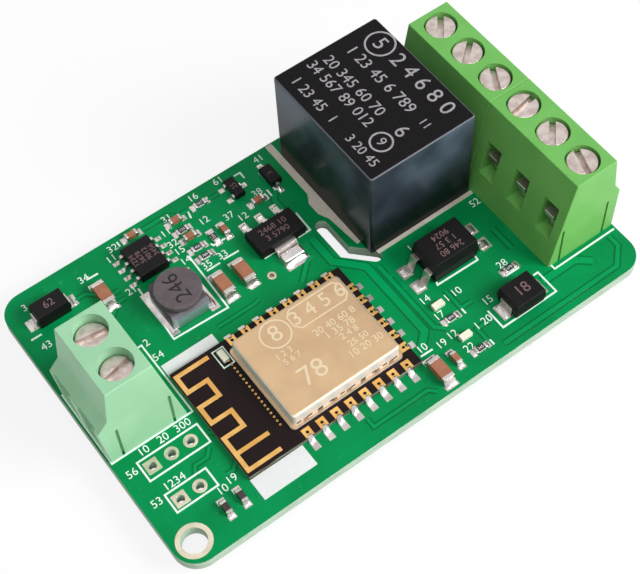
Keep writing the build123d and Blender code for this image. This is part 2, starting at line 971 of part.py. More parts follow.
# Coil pins under the bobbin, and the common strip up the back of the yoke
with BuildPart() as relay_pins_part:
    for pin_x, pin_y, pin_width, pin_depth in relay_pins[:2]:
        with Locations((pin_x, pin_y, -pin_reach)):
            Box(
                pin_width,
                pin_depth,
                bobbin_bottom + pin_reach,
                align=(Align.CENTER, Align.CENTER, Align.MIN),
            )
    with Locations((relay_x, common_y, -pin_reach)):
        Box(
            common_strip_width,
            post_thickness,
            bobbin_bottom + common_strip_height + pin_reach,
            align=(Align.CENTER, Align.CENTER, Align.MIN),
        )
relay_pins_part.part.label = "relay_coil_and_common_pins"
export_step(relay_pins_part.part, "parts/relay_coil_and_common_pins.step")

# Castellated pads of the radio module: middle of the edge and direction inwards
radio_pads = (
    [(radio_left + pad_first + pad_pitch * index, radio_front, 0, 1) for index in range(side_pads)]
    + [(radio_left + pad_first + pad_pitch * index, radio_back, 0, -1) for index in range(side_pads)]
    + [(radio_right, radio_front + end_pad_first + pad_pitch * index, -1, 0) for index in range(end_pads)]
)

# Radio module's board, notched at every pad
with BuildPart() as radio_module_board:
    with BuildSketch(Plane.XY.offset(board_top)):
        with Locations((radio_left, radio_front)):
            Rectangle(radio_length, radio_width, align=(Align.MIN, Align.MIN))
        with Locations(*[(x, y) for x, y, _, _ in radio_pads]):
            Circle(notch_radius, mode=Mode.SUBTRACT)
    extrude(amount=radio_thickness)
radio_module_board.part.label = "radio_module_board"
export_step(radio_module_board.part, "parts/radio_module_board.step")

# Pads with their notch linings, one solid for each
with BuildPart() as radio_module_pads:
    for pad_x, pad_y, inward_x, inward_y in radio_pads:
        pad_size_x = pad_length if inward_x else pad_width
        pad_size_y = pad_length if inward_y else pad_width
        pad_middle = (pad_x + inward_x * pad_length / 2, pad_y + inward_y * pad_length / 2)
        with BuildSketch(Plane.XY.offset(radio_top)):
            with Locations(pad_middle):
                Rectangle(pad_size_x, pad_size_y)
                Circle(pad_via_radius, mode=Mode.SUBTRACT)
            with Locations((pad_x, pad_y)):
                Circle(notch_radius - plating, mode=Mode.SUBTRACT)
        extrude(amount=plating)
        with BuildSketch(Plane.XY.offset(board_top)) as lining:
            with Locations((pad_x, pad_y)):
                Circle(notch_radius)
                Circle(notch_radius - plating, mode=Mode.SUBTRACT)
            with Locations(pad_middle):
                Rectangle(pad_size_x, pad_size_y, mode=Mode.INTERSECT)
        extrude(amount=radio_thickness)
radio_module_pads.part.label = "radio_module_pads"
export_step(radio_module_pads.part, "parts/radio_module_pads.step")

# Antenna, a meander of seven rows on the module's free end
trace_rows = [radio_front + trace_top - trace_row_pitch * row for row in range(trace_row_count)]
trace_edge = radio_left + trace_left
trace_short_end = radio_left + trace_short
trace_long_end = radio_left + trace_long
with BuildPart() as radio_antenna:
    with BuildSketch(Plane.XY.offset(radio_top)):
        with BuildLine():
            Polyline(
                (trace_long_end, trace_rows[0]),
                (trace_edge, trace_rows[0]),
                (trace_edge, trace_rows[1]),
                (trace_short_end, trace_rows[1]),
                (trace_short_end, trace_rows[2]),
                (trace_edge, trace_rows[2]),
                (trace_edge, trace_rows[3]),
                (trace_short_end, trace_rows[3]),
                (trace_short_end, trace_rows[4]),
                (trace_edge, trace_rows[4]),
                (trace_edge, trace_rows[6]),
                (trace_long_end, trace_rows[6]),
            )
            Polyline((trace_edge, trace_rows[5]), (trace_long_end, trace_rows[5]))
        trace(line_width=trace_width)
    extrude(amount=plating)
radio_antenna.part.label = "radio_antenna"
export_step(radio_antenna.part, "parts/radio_antenna.step")

# Shield frame: a soldered flange with a low fence inside the lid
lid_x = radio_left + lid_from_left + lid_length / 2
lid_y = (radio_front + radio_back) / 2
fence_length = lid_length - (lid_wall + seat_gap) * 2
fence_width = lid_width - (lid_wall + seat_gap) * 2
with BuildPart() as radio_shield_frame:
    with BuildSketch(Plane.XY.offset(radio_top)):
        with Locations((lid_x, lid_y)):
            RectangleRounded(
                lid_length + flange_width * 2, lid_width + flange_width * 2, lid_corner
            )
            Rectangle(
                fence_length - lid_wall * 2, fence_width - lid_wall * 2, mode=Mode.SUBTRACT
            )
    extrude(amount=flange_thickness)
    with BuildSketch(Plane.XY.offset(radio_top)):
        with Locations((lid_x, lid_y)):
            RectangleRounded(fence_length, fence_width, lid_corner)
            Rectangle(
                fence_length - lid_wall * 2, fence_width - lid_wall * 2, mode=Mode.SUBTRACT
            )
    extrude(amount=fence_height)
radio_shield_frame.part.label = "radio_shield_frame"
export_step(radio_shield_frame.part, "parts/radio_shield_frame.step")

# Shield lid, a shell with a row of notches along each long skirt
lid_bottom = radio_top + flange_thickness
lid_notches = 7
with BuildPart() as radio_shield_lid:
    with BuildSketch(Plane.XY.offset(lid_bottom)):
        with Locations((lid_x, lid_y)):
            Rectangle(lid_length, lid_width)
    extrude(amount=lid_height - flange_thickness)
    fillet(radio_shield_lid.edges().filter_by(Axis.Z), lid_corner)
    fillet(radio_shield_lid.faces().sort_by(Axis.Z)[-1].edges(), lid_edge)
    with BuildSketch(Plane.XY.offset(lid_bottom)):
        with Locations((lid_x, lid_y)):
            RectangleRounded(lid_length - lid_wall * 2, lid_width - lid_wall * 2, lid_corner - lid_wall)
    extrude(amount=lid_height - flange_thickness - lid_wall, mode=Mode.SUBTRACT)
    for notch in range(lid_notches):
        notch_x = lid_x - lid_length / 2 + lid_notch_first + pad_pitch * notch
        with Locations((notch_x, lid_y, lid_bottom)):
            Box(
                lid_notch_width,
                lid_width + overrun,
                lid_notch_height * 2,
                mode=Mode.SUBTRACT,
            )
radio_shield_lid.part.label = "radio_shield_lid"
export_step(radio_shield_lid.part, "parts/radio_shield_lid.step")

# Chips under the shield: processor, memory and crystal
radio_chip_sizes = (
    (processor_share, processor_side, processor_side, processor_height),
    (memory_share, memory_side, memory_side, memory_height),
    (crystal_share, crystal_length, crystal_width, crystal_height),
)
with BuildPart() as radio_chips:
    for (x_share, y_share), length, width, height in radio_chip_sizes:
        with Locations((lid_x + x_share * lid_length, lid_y + y_share * lid_width, radio_top)):
            Box(length, width, height, align=(Align.CENTER, Align.CENTER, Align.MIN))
radio_chips.part.label = "radio_chips"
export_step(radio_chips.part, "parts/radio_chips.step")


def moulded_body(place, length, width, height, standoff):
    """A moulded case with drafted sides, widest at its parting line."""
    parting = board_top + standoff + height / 2
    with BuildPart() as body:
        with BuildSketch(Plane.XY.offset(parting)) as outline:
            with Locations(place):
                Rectangle(length, width)
        extrude(amount=height / 2, taper=draft_angle)
        extrude(outline.sketch, amount=-height / 2, taper=draft_angle)
        fillet(body.faces().sort_by(Axis.Z)[-1].edges(), mould_edge)
    return body.part


def bent_leads(places, drop, reach, foot, width):
    """Flat leads that leave a case at its parting line and bend down to the board.
    Each place is x, y and the two parts of the direction that the lead leaves in."""
    half = lead_thickness / 2
    with BuildPart() as leads:
        for x, y, along_x, along_y in places:
            with BuildSketch(up_plane(x, y, board_top, (along_x, along_y, 0))):
                with BuildLine():
                    Polyline(
                        (0, drop + half),
                        ((reach - foot) / 2 + half, drop + half),
                        (reach - foot + half, lead_thickness),
                        (reach, lead_thickness),
                        (reach, 0),
                        (reach - foot - half, 0),
                        ((reach - foot) / 2 - half, drop - half),
                        (0, drop - half),
                        close=True,
                    )
                make_face()
            extrude(amount=width / 2, both=True)
    return leads.part


def rows(count, pitch):
    """Offsets of a centred row."""
    return [pitch * (index - (count - 1) / 2) for index in range(count)]


# Converter chip
chip_x, chip_y = on_board(*chip_share)
with BuildPart() as converter_body:
    add(moulded_body((chip_x, chip_y), chip_length, chip_width, chip_height, chip_standoff))
converter_body.part.label = "converter_body"
export_step(converter_body.part, "parts/converter_body.step")

with BuildPart() as converter_leads:
    add(
        bent_leads(
            [
                (chip_x + side * chip_length / 2, chip_y + offset_y, side, 0)
                for side in (-1, 1)
                for offset_y in rows(chip_leads_per_side, chip_lead_pitch)
            ],
            chip_standoff + chip_height / 2,
            chip_lead_reach,
            chip_lead_foot,
            chip_lead_width,
        )
    )
converter_leads.part.label = "converter_leads"
export_step(converter_leads.part, "parts/converter_leads.step")

# Inductor: a drum core on a chamfered base, its winding, and two metal feet
inductor_x, inductor_y = on_board(*inductor_share)
inductor_seat = board_top + inductor_foot_thickness
winding_bottom = inductor_seat + inductor_base_thickness
winding_top = board_top + inductor_height - inductor_cap_thickness
with BuildPart() as inductor_core:
    with BuildSketch(Plane.XY.offset(inductor_seat)):
        with Locations((inductor_x, inductor_y)):
            base_outline = Rectangle(inductor_base_length, inductor_base_width)
        chamfer(base_outline.vertices(), inductor_base_corner)
    extrude(amount=inductor_base_thickness)
    with BuildSketch(Plane.XY.offset(winding_bottom)):
        with Locations((inductor_x, inductor_y)):
            Circle(inductor_drum_radius)
    extrude(amount=winding_top - winding_bottom)
    with BuildSketch(Plane.XY.offset(winding_top)):
        with Locations((inductor_x, inductor_y)):
            Circle(inductor_radius)
    extrude(amount=inductor_cap_thickness)
    chamfer(inductor_core.edges().group_by(Axis.Z)[-1], lead_thickness / 2)
inductor_core.part.label = "inductor_core"
export_step(inductor_core.part, "parts/inductor_core.step")

with BuildPart() as inductor_winding:
    with BuildSketch(Plane.XY.offset(winding_bottom)):
        with Locations((inductor_x, inductor_y)):
            Circle(inductor_winding_radius)
            Circle(inductor_drum_radius, mode=Mode.SUBTRACT)
    extrude(amount=winding_top - winding_bottom)
inductor_winding.part.label = "inductor_winding"
export_step(inductor_winding.part, "parts/inductor_winding.step")

with BuildPart() as inductor_feet:
    for side in (-1, 1):
        foot_outer = inductor_x + side * (inductor_base_length / 2 + inductor_foot_reach)
        foot_middle = foot_outer - side * (inductor_foot_length + inductor_foot_reach) / 2
        with Locations((foot_middle, inductor_y, board_top)):
            Box(
                inductor_foot_length + inductor_foot_reach,
                inductor_base_width - inductor_base_corner,
                inductor_foot_thickness,
                align=(Align.CENTER, Align.CENTER, Align.MIN),
            )
inductor_feet.part.label = "inductor_feet"
export_step(inductor_feet.part, "parts/inductor_feet.step")

# Linear regulator, with three leads at the back and a wide tab at the front
regulator_x, regulator_y = on_board(*regulator_share)
regulator_drop = regulator_standoff + regulator_height / 2
with BuildPart() as regulator_body:
    add(
        moulded_body(
            (regulator_x, regulator_y),
            regulator_length,
            regulator_width,
            regulator_height,
            regulator_standoff,
        )
    )
regulator_body.part.label = "regulator_body"
export_step(regulator_body.part, "parts/regulator_body.step")

with BuildPart() as regulator_leads:
    add(
        bent_leads(
            [
                (regulator_x + offset_x, regulator_y + regulator_width / 2, 0, 1)
                for offset_x in rows(regulator_lead_count, regulator_lead_pitch)
            ],
            regulator_drop,
            regulator_lead_reach,
            regulator_lead_foot,
            regulator_lead_width,
        )
    )
    add(
        bent_leads(
            [(regulator_x, regulator_y - regulator_width / 2, 0, -1)],
            regulator_drop,
            regulator_lead_reach,
            regulator_lead_foot,
            regulator_tab_width,
        )
    )
regulator_leads.part.label = "regulator_leads"
export_step(regulator_leads.part, "parts/regulator_leads.step")

# Solder of the pins, and the mound that sinks the regulator's tab into its pad
tab_tip = regulator_y - regulator_width / 2 - regulator_lead_reach
with BuildPart() as tab_solder:
    with BuildSketch(Plane.XY.offset(board_top)):
        with Locations((regulator_x, tab_tip - tab_solder_reach)):
            Rectangle(
                regulator_tab_width + lead_thickness * 2,
                tab_solder_reach + regulator_lead_foot,
                align=(Align.CENTER, Align.MIN),
            )
    extrude(amount=tab_solder_height, taper=solder_taper)
    mound_edges = tab_solder.edges().filter_by(lambda edge: edge.center().Z > board_top + seat_gap)
    fillet(mound_edges, tab_solder_round)
    add(regulator_leads.part, mode=Mode.SUBTRACT)

with BuildPart() as solder:
    add(solder_joints(terminal_pins, terminal_hole_radius))
    add(solder_joints(relay_pins, relay_hole_radius))
    add(tab_solder.part)
solder.part.label = "solder"
export_step(solder.part, "parts/solder.step")

# Optocoupler
opto_x, opto_y = on_board(*opto_share)
with BuildPart() as optocoupler_body:
    add(moulded_body((opto_x, opto_y), opto_length, opto_width, opto_height, opto_standoff))
optocoupler_body.part.label = "optocoupler_body"
export_step(optocoupler_body.part, "parts/optocoupler_body.step")

with BuildPart() as optocoupler_leads:
    add(
        bent_leads(
            [
                (opto_x + side * opto_length / 2, opto_y + offset_y, side, 0)
                for side in (-1, 1)
                for offset_y in rows(2, opto_lead_pitch)
            ],
            opto_standoff + opto_height / 2,
            opto_lead_reach,
            opto_lead_foot,
            opto_lead_width,
        )
    )
optocoupler_leads.part.label = "optocoupler_leads"
export_step(optocoupler_leads.part, "parts/optocoupler_leads.step")

# Diode cases: supply input, output snubber and relay coil
input_diode_x, input_diode_y = on_board(*input_diode_share)
output_diode_x, output_diode_y = on_board(*output_diode_share)
coil_diode_x, coil_diode_y = on_board(*coil_diode_share)
with BuildPart() as diode_bodies:
    add(
        moulded_body(
            (input_diode_x, input_diode_y),
            input_diode_length,
            input_diode_width,
            input_diode_height,
            diode_standoff,
        )
    )
    add(
        moulded_body(
            (output_diode_x, output_diode_y),
            output_diode_length,
            output_diode_width,
            output_diode_height,
            diode_standoff,
        )
    )
    add(
        moulded_body(
            (coil_diode_x, coil_diode_y),
            coil_diode_width,
            coil_diode_length,
            coil_diode_height,
            diode_standoff,
        )
    )
diode_bodies.part.label = "diode_bodies"
export_step(diode_bodies.part, "parts/diode_bodies.step")

with BuildPart() as diode_leads:
    for diode_x, diode_y, length, width, height in (
        (input_diode_x, input_diode_y, input_diode_length, input_diode_width, input_diode_height),
        (
            output_diode_x,
            output_diode_y,
            output_diode_length,
            output_diode_width,
            output_diode_height,
        ),
    ):
        add(
            bent_leads(
                [(diode_x + side * length / 2, diode_y, side, 0) for side in (-1, 1)],
                diode_standoff + height / 2,
                diode_lead_reach,
                diode_lead_foot,
                width * diode_lead_width_share,
            )
        )
    add(
        bent_leads(
            [
                (coil_diode_x, coil_diode_y + side * coil_diode_length / 2, 0, side)
                for side in (-1, 1)
            ],
            diode_standoff + coil_diode_height / 2,
            small_lead_reach,
            small_lead_foot,
            small_lead_width,
        )
    )
diode_leads.part.label = "diode_leads"
export_step(diode_leads.part, "parts/diode_leads.step")

# Transistor that switches the relay coil
transistor_x, transistor_y = on_board(*transistor_share)
with BuildPart() as transistor_body:
    add(
        moulded_body(
            (transistor_x, transistor_y),
            transistor_width,
            transistor_length,
            transistor_height,
            diode_standoff,
        )
    )
transistor_body.part.label = "transistor_body"
export_step(transistor_body.part, "parts/transistor_body.step")

with BuildPart() as transistor_leads:
    add(
        bent_leads(
            [
                (transistor_x - transistor_width / 2, transistor_y + offset_y, -1, 0)
                for offset_y in rows(2, transistor_lead_spread)
            ]
            + [(transistor_x + transistor_width / 2, transistor_y, 1, 0)],
            diode_standoff + transistor_height / 2,
            small_lead_reach,
            small_lead_foot,
            small_lead_width,
        )
    )
transistor_leads.part.label = "transistor_leads"
export_step(transistor_leads.part, "parts/transistor_leads.step")


def chip_spot(place, level):
    """Where a chip part stands and how it is turned."""
    x_share, y_share, turn = place
    x, y = on_board(x_share, y_share)
    return Location((x, y, level), (0, 0, turn))


def chip_middles(places, length, width, height, end):
    """The ceramic middles of chip parts, a step smaller than their metal ends."""
    with BuildPart() as middles:
        with Locations(*[chip_spot(place, board_top + end_step) for place in places]):
            Box(
                length - end * 2,
                width - end_step * 2,
                height - end_step * 2,
                align=(Align.CENTER, Align.CENTER, Align.MIN),
            )
    return middles.part


def chip_ends(places, length, width, height, end):
    """The two metal ends of each chip part."""
    with BuildPart() as ends:
        with Locations(*[chip_spot(place, board_top) for place in places]):
            with GridLocations(length - end, 0, 2, 1):
                Box(end, width, height, align=(Align.CENTER, Align.CENTER, Align.MIN))
    return ends.part


large_chip = (large_chip_length, large_chip_width, large_chip_height, large_chip_end)
small_capacitor = (small_chip_length, small_chip_width, small_capacitor_height, small_chip_end)
resistor = (small_chip_length, small_chip_width, resistor_height, small_chip_end)

with BuildPart() as ceramic_capacitors:
    add(chip_middles(large_capacitor_shares, *large_chip))
    add(chip_middles(small_capacitor_shares, *small_capacitor))
ceramic_capacitors.part.label = "ceramic_capacitors"
export_step(ceramic_capacitors.part, "parts/ceramic_capacitors.step")

with BuildPart() as resistors:
    add(chip_middles(resistor_shares, *resistor))
resistors.part.label = "resistors"
export_step(resistors.part, "parts/resistors.step")

with BuildPart() as chip_end_caps:
    add(chip_ends(large_capacitor_shares, *large_chip))
    add(chip_ends(small_capacitor_shares, *small_capacitor))
    add(chip_ends(resistor_shares, *resistor))
chip_end_caps.part.label = "chip_end_caps"
export_step(chip_end_caps.part, "parts/chip_end_caps.step")

# Indicator lamps: two on the board and one on the radio module
radio_led = (
    radio_left + radio_led_share[0] * radio_length,
    radio_front + radio_led_share[1] * radio_width,
    radio_top,
)
with BuildPart() as indicator_leds:
    with Locations(*[chip_spot(place, board_top) for place in led_shares]):
        Box(
            led_length,
            led_width,
            led_height,
            align=(Align.CENTER, Align.CENTER, Align.MIN),
        )
    with Locations(Location(radio_led, (0, 0, 90))):
        Box(
            led_length,
            led_width,
            led_height,
            align=(Align.CENTER, Align.CENTER, Align.MIN),
        )
indicator_leds.part.label = "indicator_leds"
export_step(indicator_leds.part, "parts/indicator_leds.step")
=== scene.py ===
# %% [markdown]
# A relay board stands on a pale table. The imported model is loaded first, as a frame that stays
# put: every screw, chip and terminal of it is already in place. What follows only adds finishes,
# print, tracks and solder, and gives sharp edges the small rounding that moulded and cut pieces
# have. The frame's box is measured at once, and its lowest point sets the table's level.

# %% Load the frame
import json
import math

import bmesh
import bpy
from mathutils import Matrix, Vector


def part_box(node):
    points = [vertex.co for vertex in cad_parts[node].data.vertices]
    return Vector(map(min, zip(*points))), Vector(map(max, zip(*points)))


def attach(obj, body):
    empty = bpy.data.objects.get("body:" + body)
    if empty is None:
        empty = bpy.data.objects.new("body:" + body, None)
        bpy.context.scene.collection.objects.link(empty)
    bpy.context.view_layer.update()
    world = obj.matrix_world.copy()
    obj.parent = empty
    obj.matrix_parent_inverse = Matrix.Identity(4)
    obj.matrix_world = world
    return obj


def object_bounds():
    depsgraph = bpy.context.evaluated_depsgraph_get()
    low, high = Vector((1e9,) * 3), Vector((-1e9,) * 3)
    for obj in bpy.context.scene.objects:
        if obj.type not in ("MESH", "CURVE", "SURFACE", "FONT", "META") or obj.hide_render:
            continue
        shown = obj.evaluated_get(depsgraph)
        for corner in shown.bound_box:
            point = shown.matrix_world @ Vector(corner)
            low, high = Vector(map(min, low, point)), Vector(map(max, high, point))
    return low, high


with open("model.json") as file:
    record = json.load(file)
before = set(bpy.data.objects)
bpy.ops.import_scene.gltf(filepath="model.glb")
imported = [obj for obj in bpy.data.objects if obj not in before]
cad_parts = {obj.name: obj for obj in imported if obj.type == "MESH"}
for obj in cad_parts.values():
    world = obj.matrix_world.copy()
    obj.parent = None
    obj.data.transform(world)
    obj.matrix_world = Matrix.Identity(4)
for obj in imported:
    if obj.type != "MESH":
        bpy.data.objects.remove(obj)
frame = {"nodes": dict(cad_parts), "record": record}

frame_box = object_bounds()
nodes = frame["nodes"]
MM = 0.001
print("pieces in the frame:", len(nodes))


def box_mm(node):
    """The lowest and highest corner of a piece of the frame, in millimetres."""
    low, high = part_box(node)
    return low / MM, high / MM



# %% [markdown]
# A finish is a tree of nodes. Sums on paper are easier to read than boxes and wires, so a small
# class wraps a socket, and writing a + b adds the Math node for it. Every other node comes from
# one method, which takes its kind, its settings and then what goes into its sockets.


# %% Shader sums
class Value:
    """A socket that can stand in plain sums."""

    def __init__(self, tree, socket):
        self.tree = tree
        self.socket = socket

    def sum(self, operation, first, second):
        settings = {"operation": operation}
        return self.tree.node("ShaderNodeMath", settings, {0: first, 1: second})["Value"]

    def __add__(self, other):
        return self.sum("ADD", self, other)

    def __sub__(self, other):
        return self.sum("SUBTRACT", self, other)

    def __rsub__(self, other):
        return self.sum("SUBTRACT", other, self)

    def __mul__(self, other):
        return self.sum("MULTIPLY", self, other)

    def __truediv__(self, other):
        return self.sum("DIVIDE", self, other)

    def __rtruediv__(self, other):
        return self.sum("DIVIDE", other, self)

    __radd__ = __add__
    __rmul__ = __mul__


class Tree:
    """The nodes of a material or of the room."""

    def __init__(self, tree):
        self.tree = tree

    def node(self, kind, settings=None, sockets=None):
        """Add a node: its settings first, then the values or links of its sockets."""
        made = self.tree.nodes.new(kind)
        for name, setting in (settings or {}).items():
            setattr(made, name, setting)
        for key, value in (sockets or {}).items():
            found = [s for s in made.inputs if s.enabled and s.name == key]
            self.feed(made.inputs[key] if isinstance(key, int) else found[0], value)
        return {output.name: Value(self, output) for output in made.outputs if output.enabled}

    def feed(self, socket, value):
        """Link a value to a socket, or set the socket to a constant."""
        if isinstance(value, Value):
            self.tree.links.new(value.socket, socket)
        else:
            socket.default_value = value


def paint(red, green, blue):
    """A colour as a paint chart gives it, from 0 to 255, in the linear values of a shader."""
    shares = [channel / 255 for channel in (red, green, blue)]
    return tuple(s / 12.92 if s <= 0.04045 else ((s + 0.055) / 1.055) ** 2.4 for s in shares) + (1,)


# %% [markdown]
# Every finish starts from the Principled shader and from places measured in millimetres, because
# the grain of plastic and the marks of a tool are known in millimetres. The place comes from the
# object's own coordinates, so the grain stays on the piece when it moves.


# %% Finishes
class Finish(Tree):
    """A material with its nodes."""

    def __init__(self, name):
        self.material = bpy.data.materials.new(name)
        self.material.use_nodes = True
        super().__init__(self.material.node_tree)
        self.shader = self.tree.nodes["Principled BSDF"]
        spot = self.node("ShaderNodeTexCoord")["Object"]
        scaled = {"operation": "SCALE"}
        self.place = self.node("ShaderNodeVectorMath", scaled, {0: spot, "Scale": 1 / MM})["Vector"]
        self.x, self.y, self.z = self.split(self.place)

    def split(self, vector):
        parts = self.node("ShaderNodeSeparateXYZ", None, {"Vector": vector})
        return parts["X"], parts["Y"], parts["Z"]

    def root(self, value):
        return self.node("ShaderNodeMath", {"operation": "SQRT"}, {0: value})["Value"]

    def line(self, value):
        """A place that only moves along one axis, as far as value says."""
        return self.node("ShaderNodeCombineXYZ", None, {"X": value})["Vector"]

    def facing(self):
        """How far the surface faces up or down, from 0 on a wall to 1 on a flat."""
        up = self.split(self.node("ShaderNodeNewGeometry")["Normal"])[2]
        return up * up

    def clouds(self, size, detail=3, place=None):
        """Soft patches about size millimetres across, from 0 to 1."""
        sockets = {"Vector": place or self.place, "Scale": 1 / size, "Detail": detail}
        return self.node("ShaderNodeTexNoise", None, sockets)["Fac"]

    def step(self, value, low, high):
        """Rise smoothly from 0 at low to 1 at high."""
        sockets = {"Value": value, "From Min": low, "From Max": high}
        settings = {"interpolation_type": "SMOOTHSTEP"}
        return self.node("ShaderNodeMapRange", settings, sockets)["Result"]

    def mix(self, share, first, second):
        settings = {"data_type": "RGBA"}
        sockets = {"Factor": share, "A": first, "B": second}
        return self.node("ShaderNodeMix", settings, sockets)["Result"]

    def relief(self, height, depth):
        """Raise the surface by up to depth millimetres where height is 1."""
        sockets = {"Height": height, "Distance": depth * MM}
        return self.node("ShaderNodeBump", None, sockets)["Normal"]

    def stretched(self, x, y, z):
        """The place with each axis divided by its own length, for marks that run one way."""
        sockets = {0: self.place, 1: (1 / x, 1 / y, 1 / z)}
        return self.node("ShaderNodeVectorMath", {"operation": "MULTIPLY"}, sockets)["Vector"]

    def surface(self, **sockets):
        """Set the shader's own sockets, such as Base_Color or Roughness."""
        for name, value in sockets.items():
            self.feed(self.shader.inputs[name.replace("_", " ")], value)
        return self


# %% [markdown]
# A circuit board is woven glass and resin under copper foil and green lacquer. From above one
# sees lacquer, and on the cut edge the pale glass and resin in layers. The surface knows which
# way it faces, so one finish serves both. The weave shows faintly through the lacquer as a
# small relief, and the lacquer pools a little, so its green varies.


# %% Solder mask
def masked_laminate(name, lacquer, pooled, cut_edge, weave):
    finish = Finish(name)
    flat = finish.step(finish.facing(), 0.2, 0.5)
    pools = finish.clouds(6)
    fibres = finish.clouds(1, 2, finish.stretched(0.9, 0.12, 0.12))
    cross = finish.clouds(1, 2, finish.stretched(0.12, 0.9, 0.12))
    green = finish.mix(finish.step(pools, 0.3, 0.7), lacquer, pooled)
    layers = finish.clouds(1, 2, finish.stretched(3, 3, 0.12))
    edge = finish.mix(finish.step(layers, 0.4, 0.7), cut_edge, paint(146, 168, 146))
    dust = finish.clouds(0.4)
    return finish.surface(
        Base_Color=finish.mix(flat, edge, green),
        Roughness=0.75 - flat * 0.42 + dust * 0.08,
        Normal=finish.relief(fibres + cross, weave),
        Specular_IOR_Level=0.12,
    )


board_mask = masked_laminate(
    "board_mask", paint(0, 126, 67), paint(0, 138, 77), paint(178, 196, 178), 0.004
)
raised_mask = masked_laminate(
    "raised_mask", paint(0, 138, 77), paint(0, 148, 85), paint(0, 120, 62), 0.004
)
sunk_mask = masked_laminate(
    "sunk_mask", paint(0, 102, 53), paint(0, 110, 57), paint(0, 100, 52), 0.004
)
radio_mask = masked_laminate(
    "radio_mask", paint(24, 14, 16), paint(30, 18, 19), paint(66, 52, 40), 0.003
)

# %% [markdown]
# Bare metal on a board is plated or tinned. A metal shows only what it reflects, and its base
# colour tints the reflection. Solder freezes with a slightly uneven skin, and rolled or plated
# strips keep fine scratches. Roughness that changes in patches breaks the reflection up.


# %% Metals
def plated(name, light, dark, roughness, grain, depth, direction=(1, 1, 1)):
    finish = Finish(name)
    patches = finish.step(finish.clouds(1.5), 0.3, 0.7)
    scratches = finish.clouds(grain, 4, finish.stretched(*direction))
    return finish.surface(
        Base_Color=finish.mix(patches, light, dark),
        Roughness=roughness + scratches * 0.16,
        Normal=finish.relief(scratches, depth),
        Metallic=1.0,
    )


def turned_nickel(name, x, y):
    """Nickel on a turned screw head, with the tool's circles round the screw's own axis."""
    finish = Finish(name)
    across = finish.x - x
    along = finish.y - y
    distance = finish.root(across * across + along * along)
    circles = finish.node(
        "ShaderNodeTexWave",
        {"wave_type": "BANDS"},
        {"Vector": finish.line(distance), "Scale": 2.2, "Distortion": 0.6, "Detail": 2.0},
    )["Fac"]
    stains = finish.step(finish.clouds(0.9), 0.35, 0.7)
    return finish.surface(
        Base_Color=finish.mix(stains, paint(214, 202, 196), paint(186, 168, 162)),
        Roughness=0.26 + circles * 0.12 + stains * 0.08,
        Normal=finish.relief(circles, 0.006),
        Metallic=1.0,
    )


gold = plated("gold", paint(236, 190, 116), paint(222, 168, 92), 0.26, 0.3, 0.002)
pale_plating = plated("pale_plating", paint(222, 212, 190), paint(206, 196, 176), 0.34, 0.4, 0.002)
solder = plated("solder", paint(222, 216, 214), paint(186, 180, 180), 0.16, 0.45, 0.02)
tinned = plated("tinned", paint(214, 208, 204), paint(186, 178, 174), 0.24, 0.2, 0.004, (3, 0.3, 1))
cage_nickel = plated("cage_nickel", paint(198, 192, 188), paint(170, 162, 158), 0.3, 0.3, 0.006)
relay_iron = plated("relay_iron", paint(182, 180, 178), paint(150, 148, 148), 0.35, 0.3, 0.006)
contact_metal = plated("contact_metal", paint(214, 206, 196), paint(190, 178, 164), 0.3, 0.3, 0.004)
copper = plated("copper", paint(128, 70, 48), paint(96, 50, 36), 0.3, 0.1, 0.01, (8, 8, 0.4))


def shield_finish():
    """Drawn sheet: matt champagne on top; on the sides, pulled by the tool, brushed lines and a
    painted pale reflection.
    """
    finish = Finish("champagne")
    top = finish.step(finish.facing(), 0.5, 0.8)
    brushed = finish.clouds(0.12, 4, finish.stretched(6, 0.6, 1))
    patches = finish.step(finish.clouds(3), 0.3, 0.7)
    cap = finish.mix(patches, paint(204, 174, 138), paint(194, 164, 130))
    return finish.surface(
        # The sides' pale grey and lower metal share are a painted reflection
        Base_Color=finish.mix(top, paint(226, 222, 218), cap),
        Roughness=0.42 + top * 0.04 + brushed * 0.14,
        Metallic=0.35 + top * 0.65,
        Normal=finish.relief(brushed, 0.0015),
    )


champagne = shield_finish()

# %% [markdown]
# Moulded plastic takes the texture of its steel mould: a fine spark-eroded grain, here a small
# relief, with faint clouds where the melt flowed. The relay's cover is grained on top and
# polished on its sides. The sides carry a painted reflection, a bluish grey that grows toward
# the top in soft smears, and the rounded rim carries a painted highlight, a touch paler. The rim
# is where the surface faces neither up nor sideways, so no edge has to be marked by hand.


# %% Plastics
def moulded(name, colour, cloud, roughness, grain, depth, gloss=0.4):
    finish = Finish(name)
    flow = finish.step(finish.clouds(5), 0.3, 0.75)
    grains = finish.clouds(grain, 4)
    return finish.surface(
        Base_Color=finish.mix(flow, colour, cloud),
        Roughness=roughness + grains * 0.18,
        Normal=finish.relief(grains, depth),
        Specular_IOR_Level=gloss,
    )


green_plastic = moulded(
    "green_plastic", paint(104, 172, 84), paint(112, 180, 92), 0.36, 0.12, 0.004, 0.3
)
pale_plastic = moulded(
    "pale_plastic", paint(150, 200, 160), paint(158, 208, 168), 0.36, 0.12, 0.004, 0.3
)
black_moulding = moulded(
    "black_moulding", paint(13, 11, 12), paint(19, 16, 18), 0.42, 0.05, 0.004, 0.16
)
relay_inner = moulded("relay_inner", paint(214, 206, 186), paint(204, 194, 172), 0.4, 0.1, 0.004)


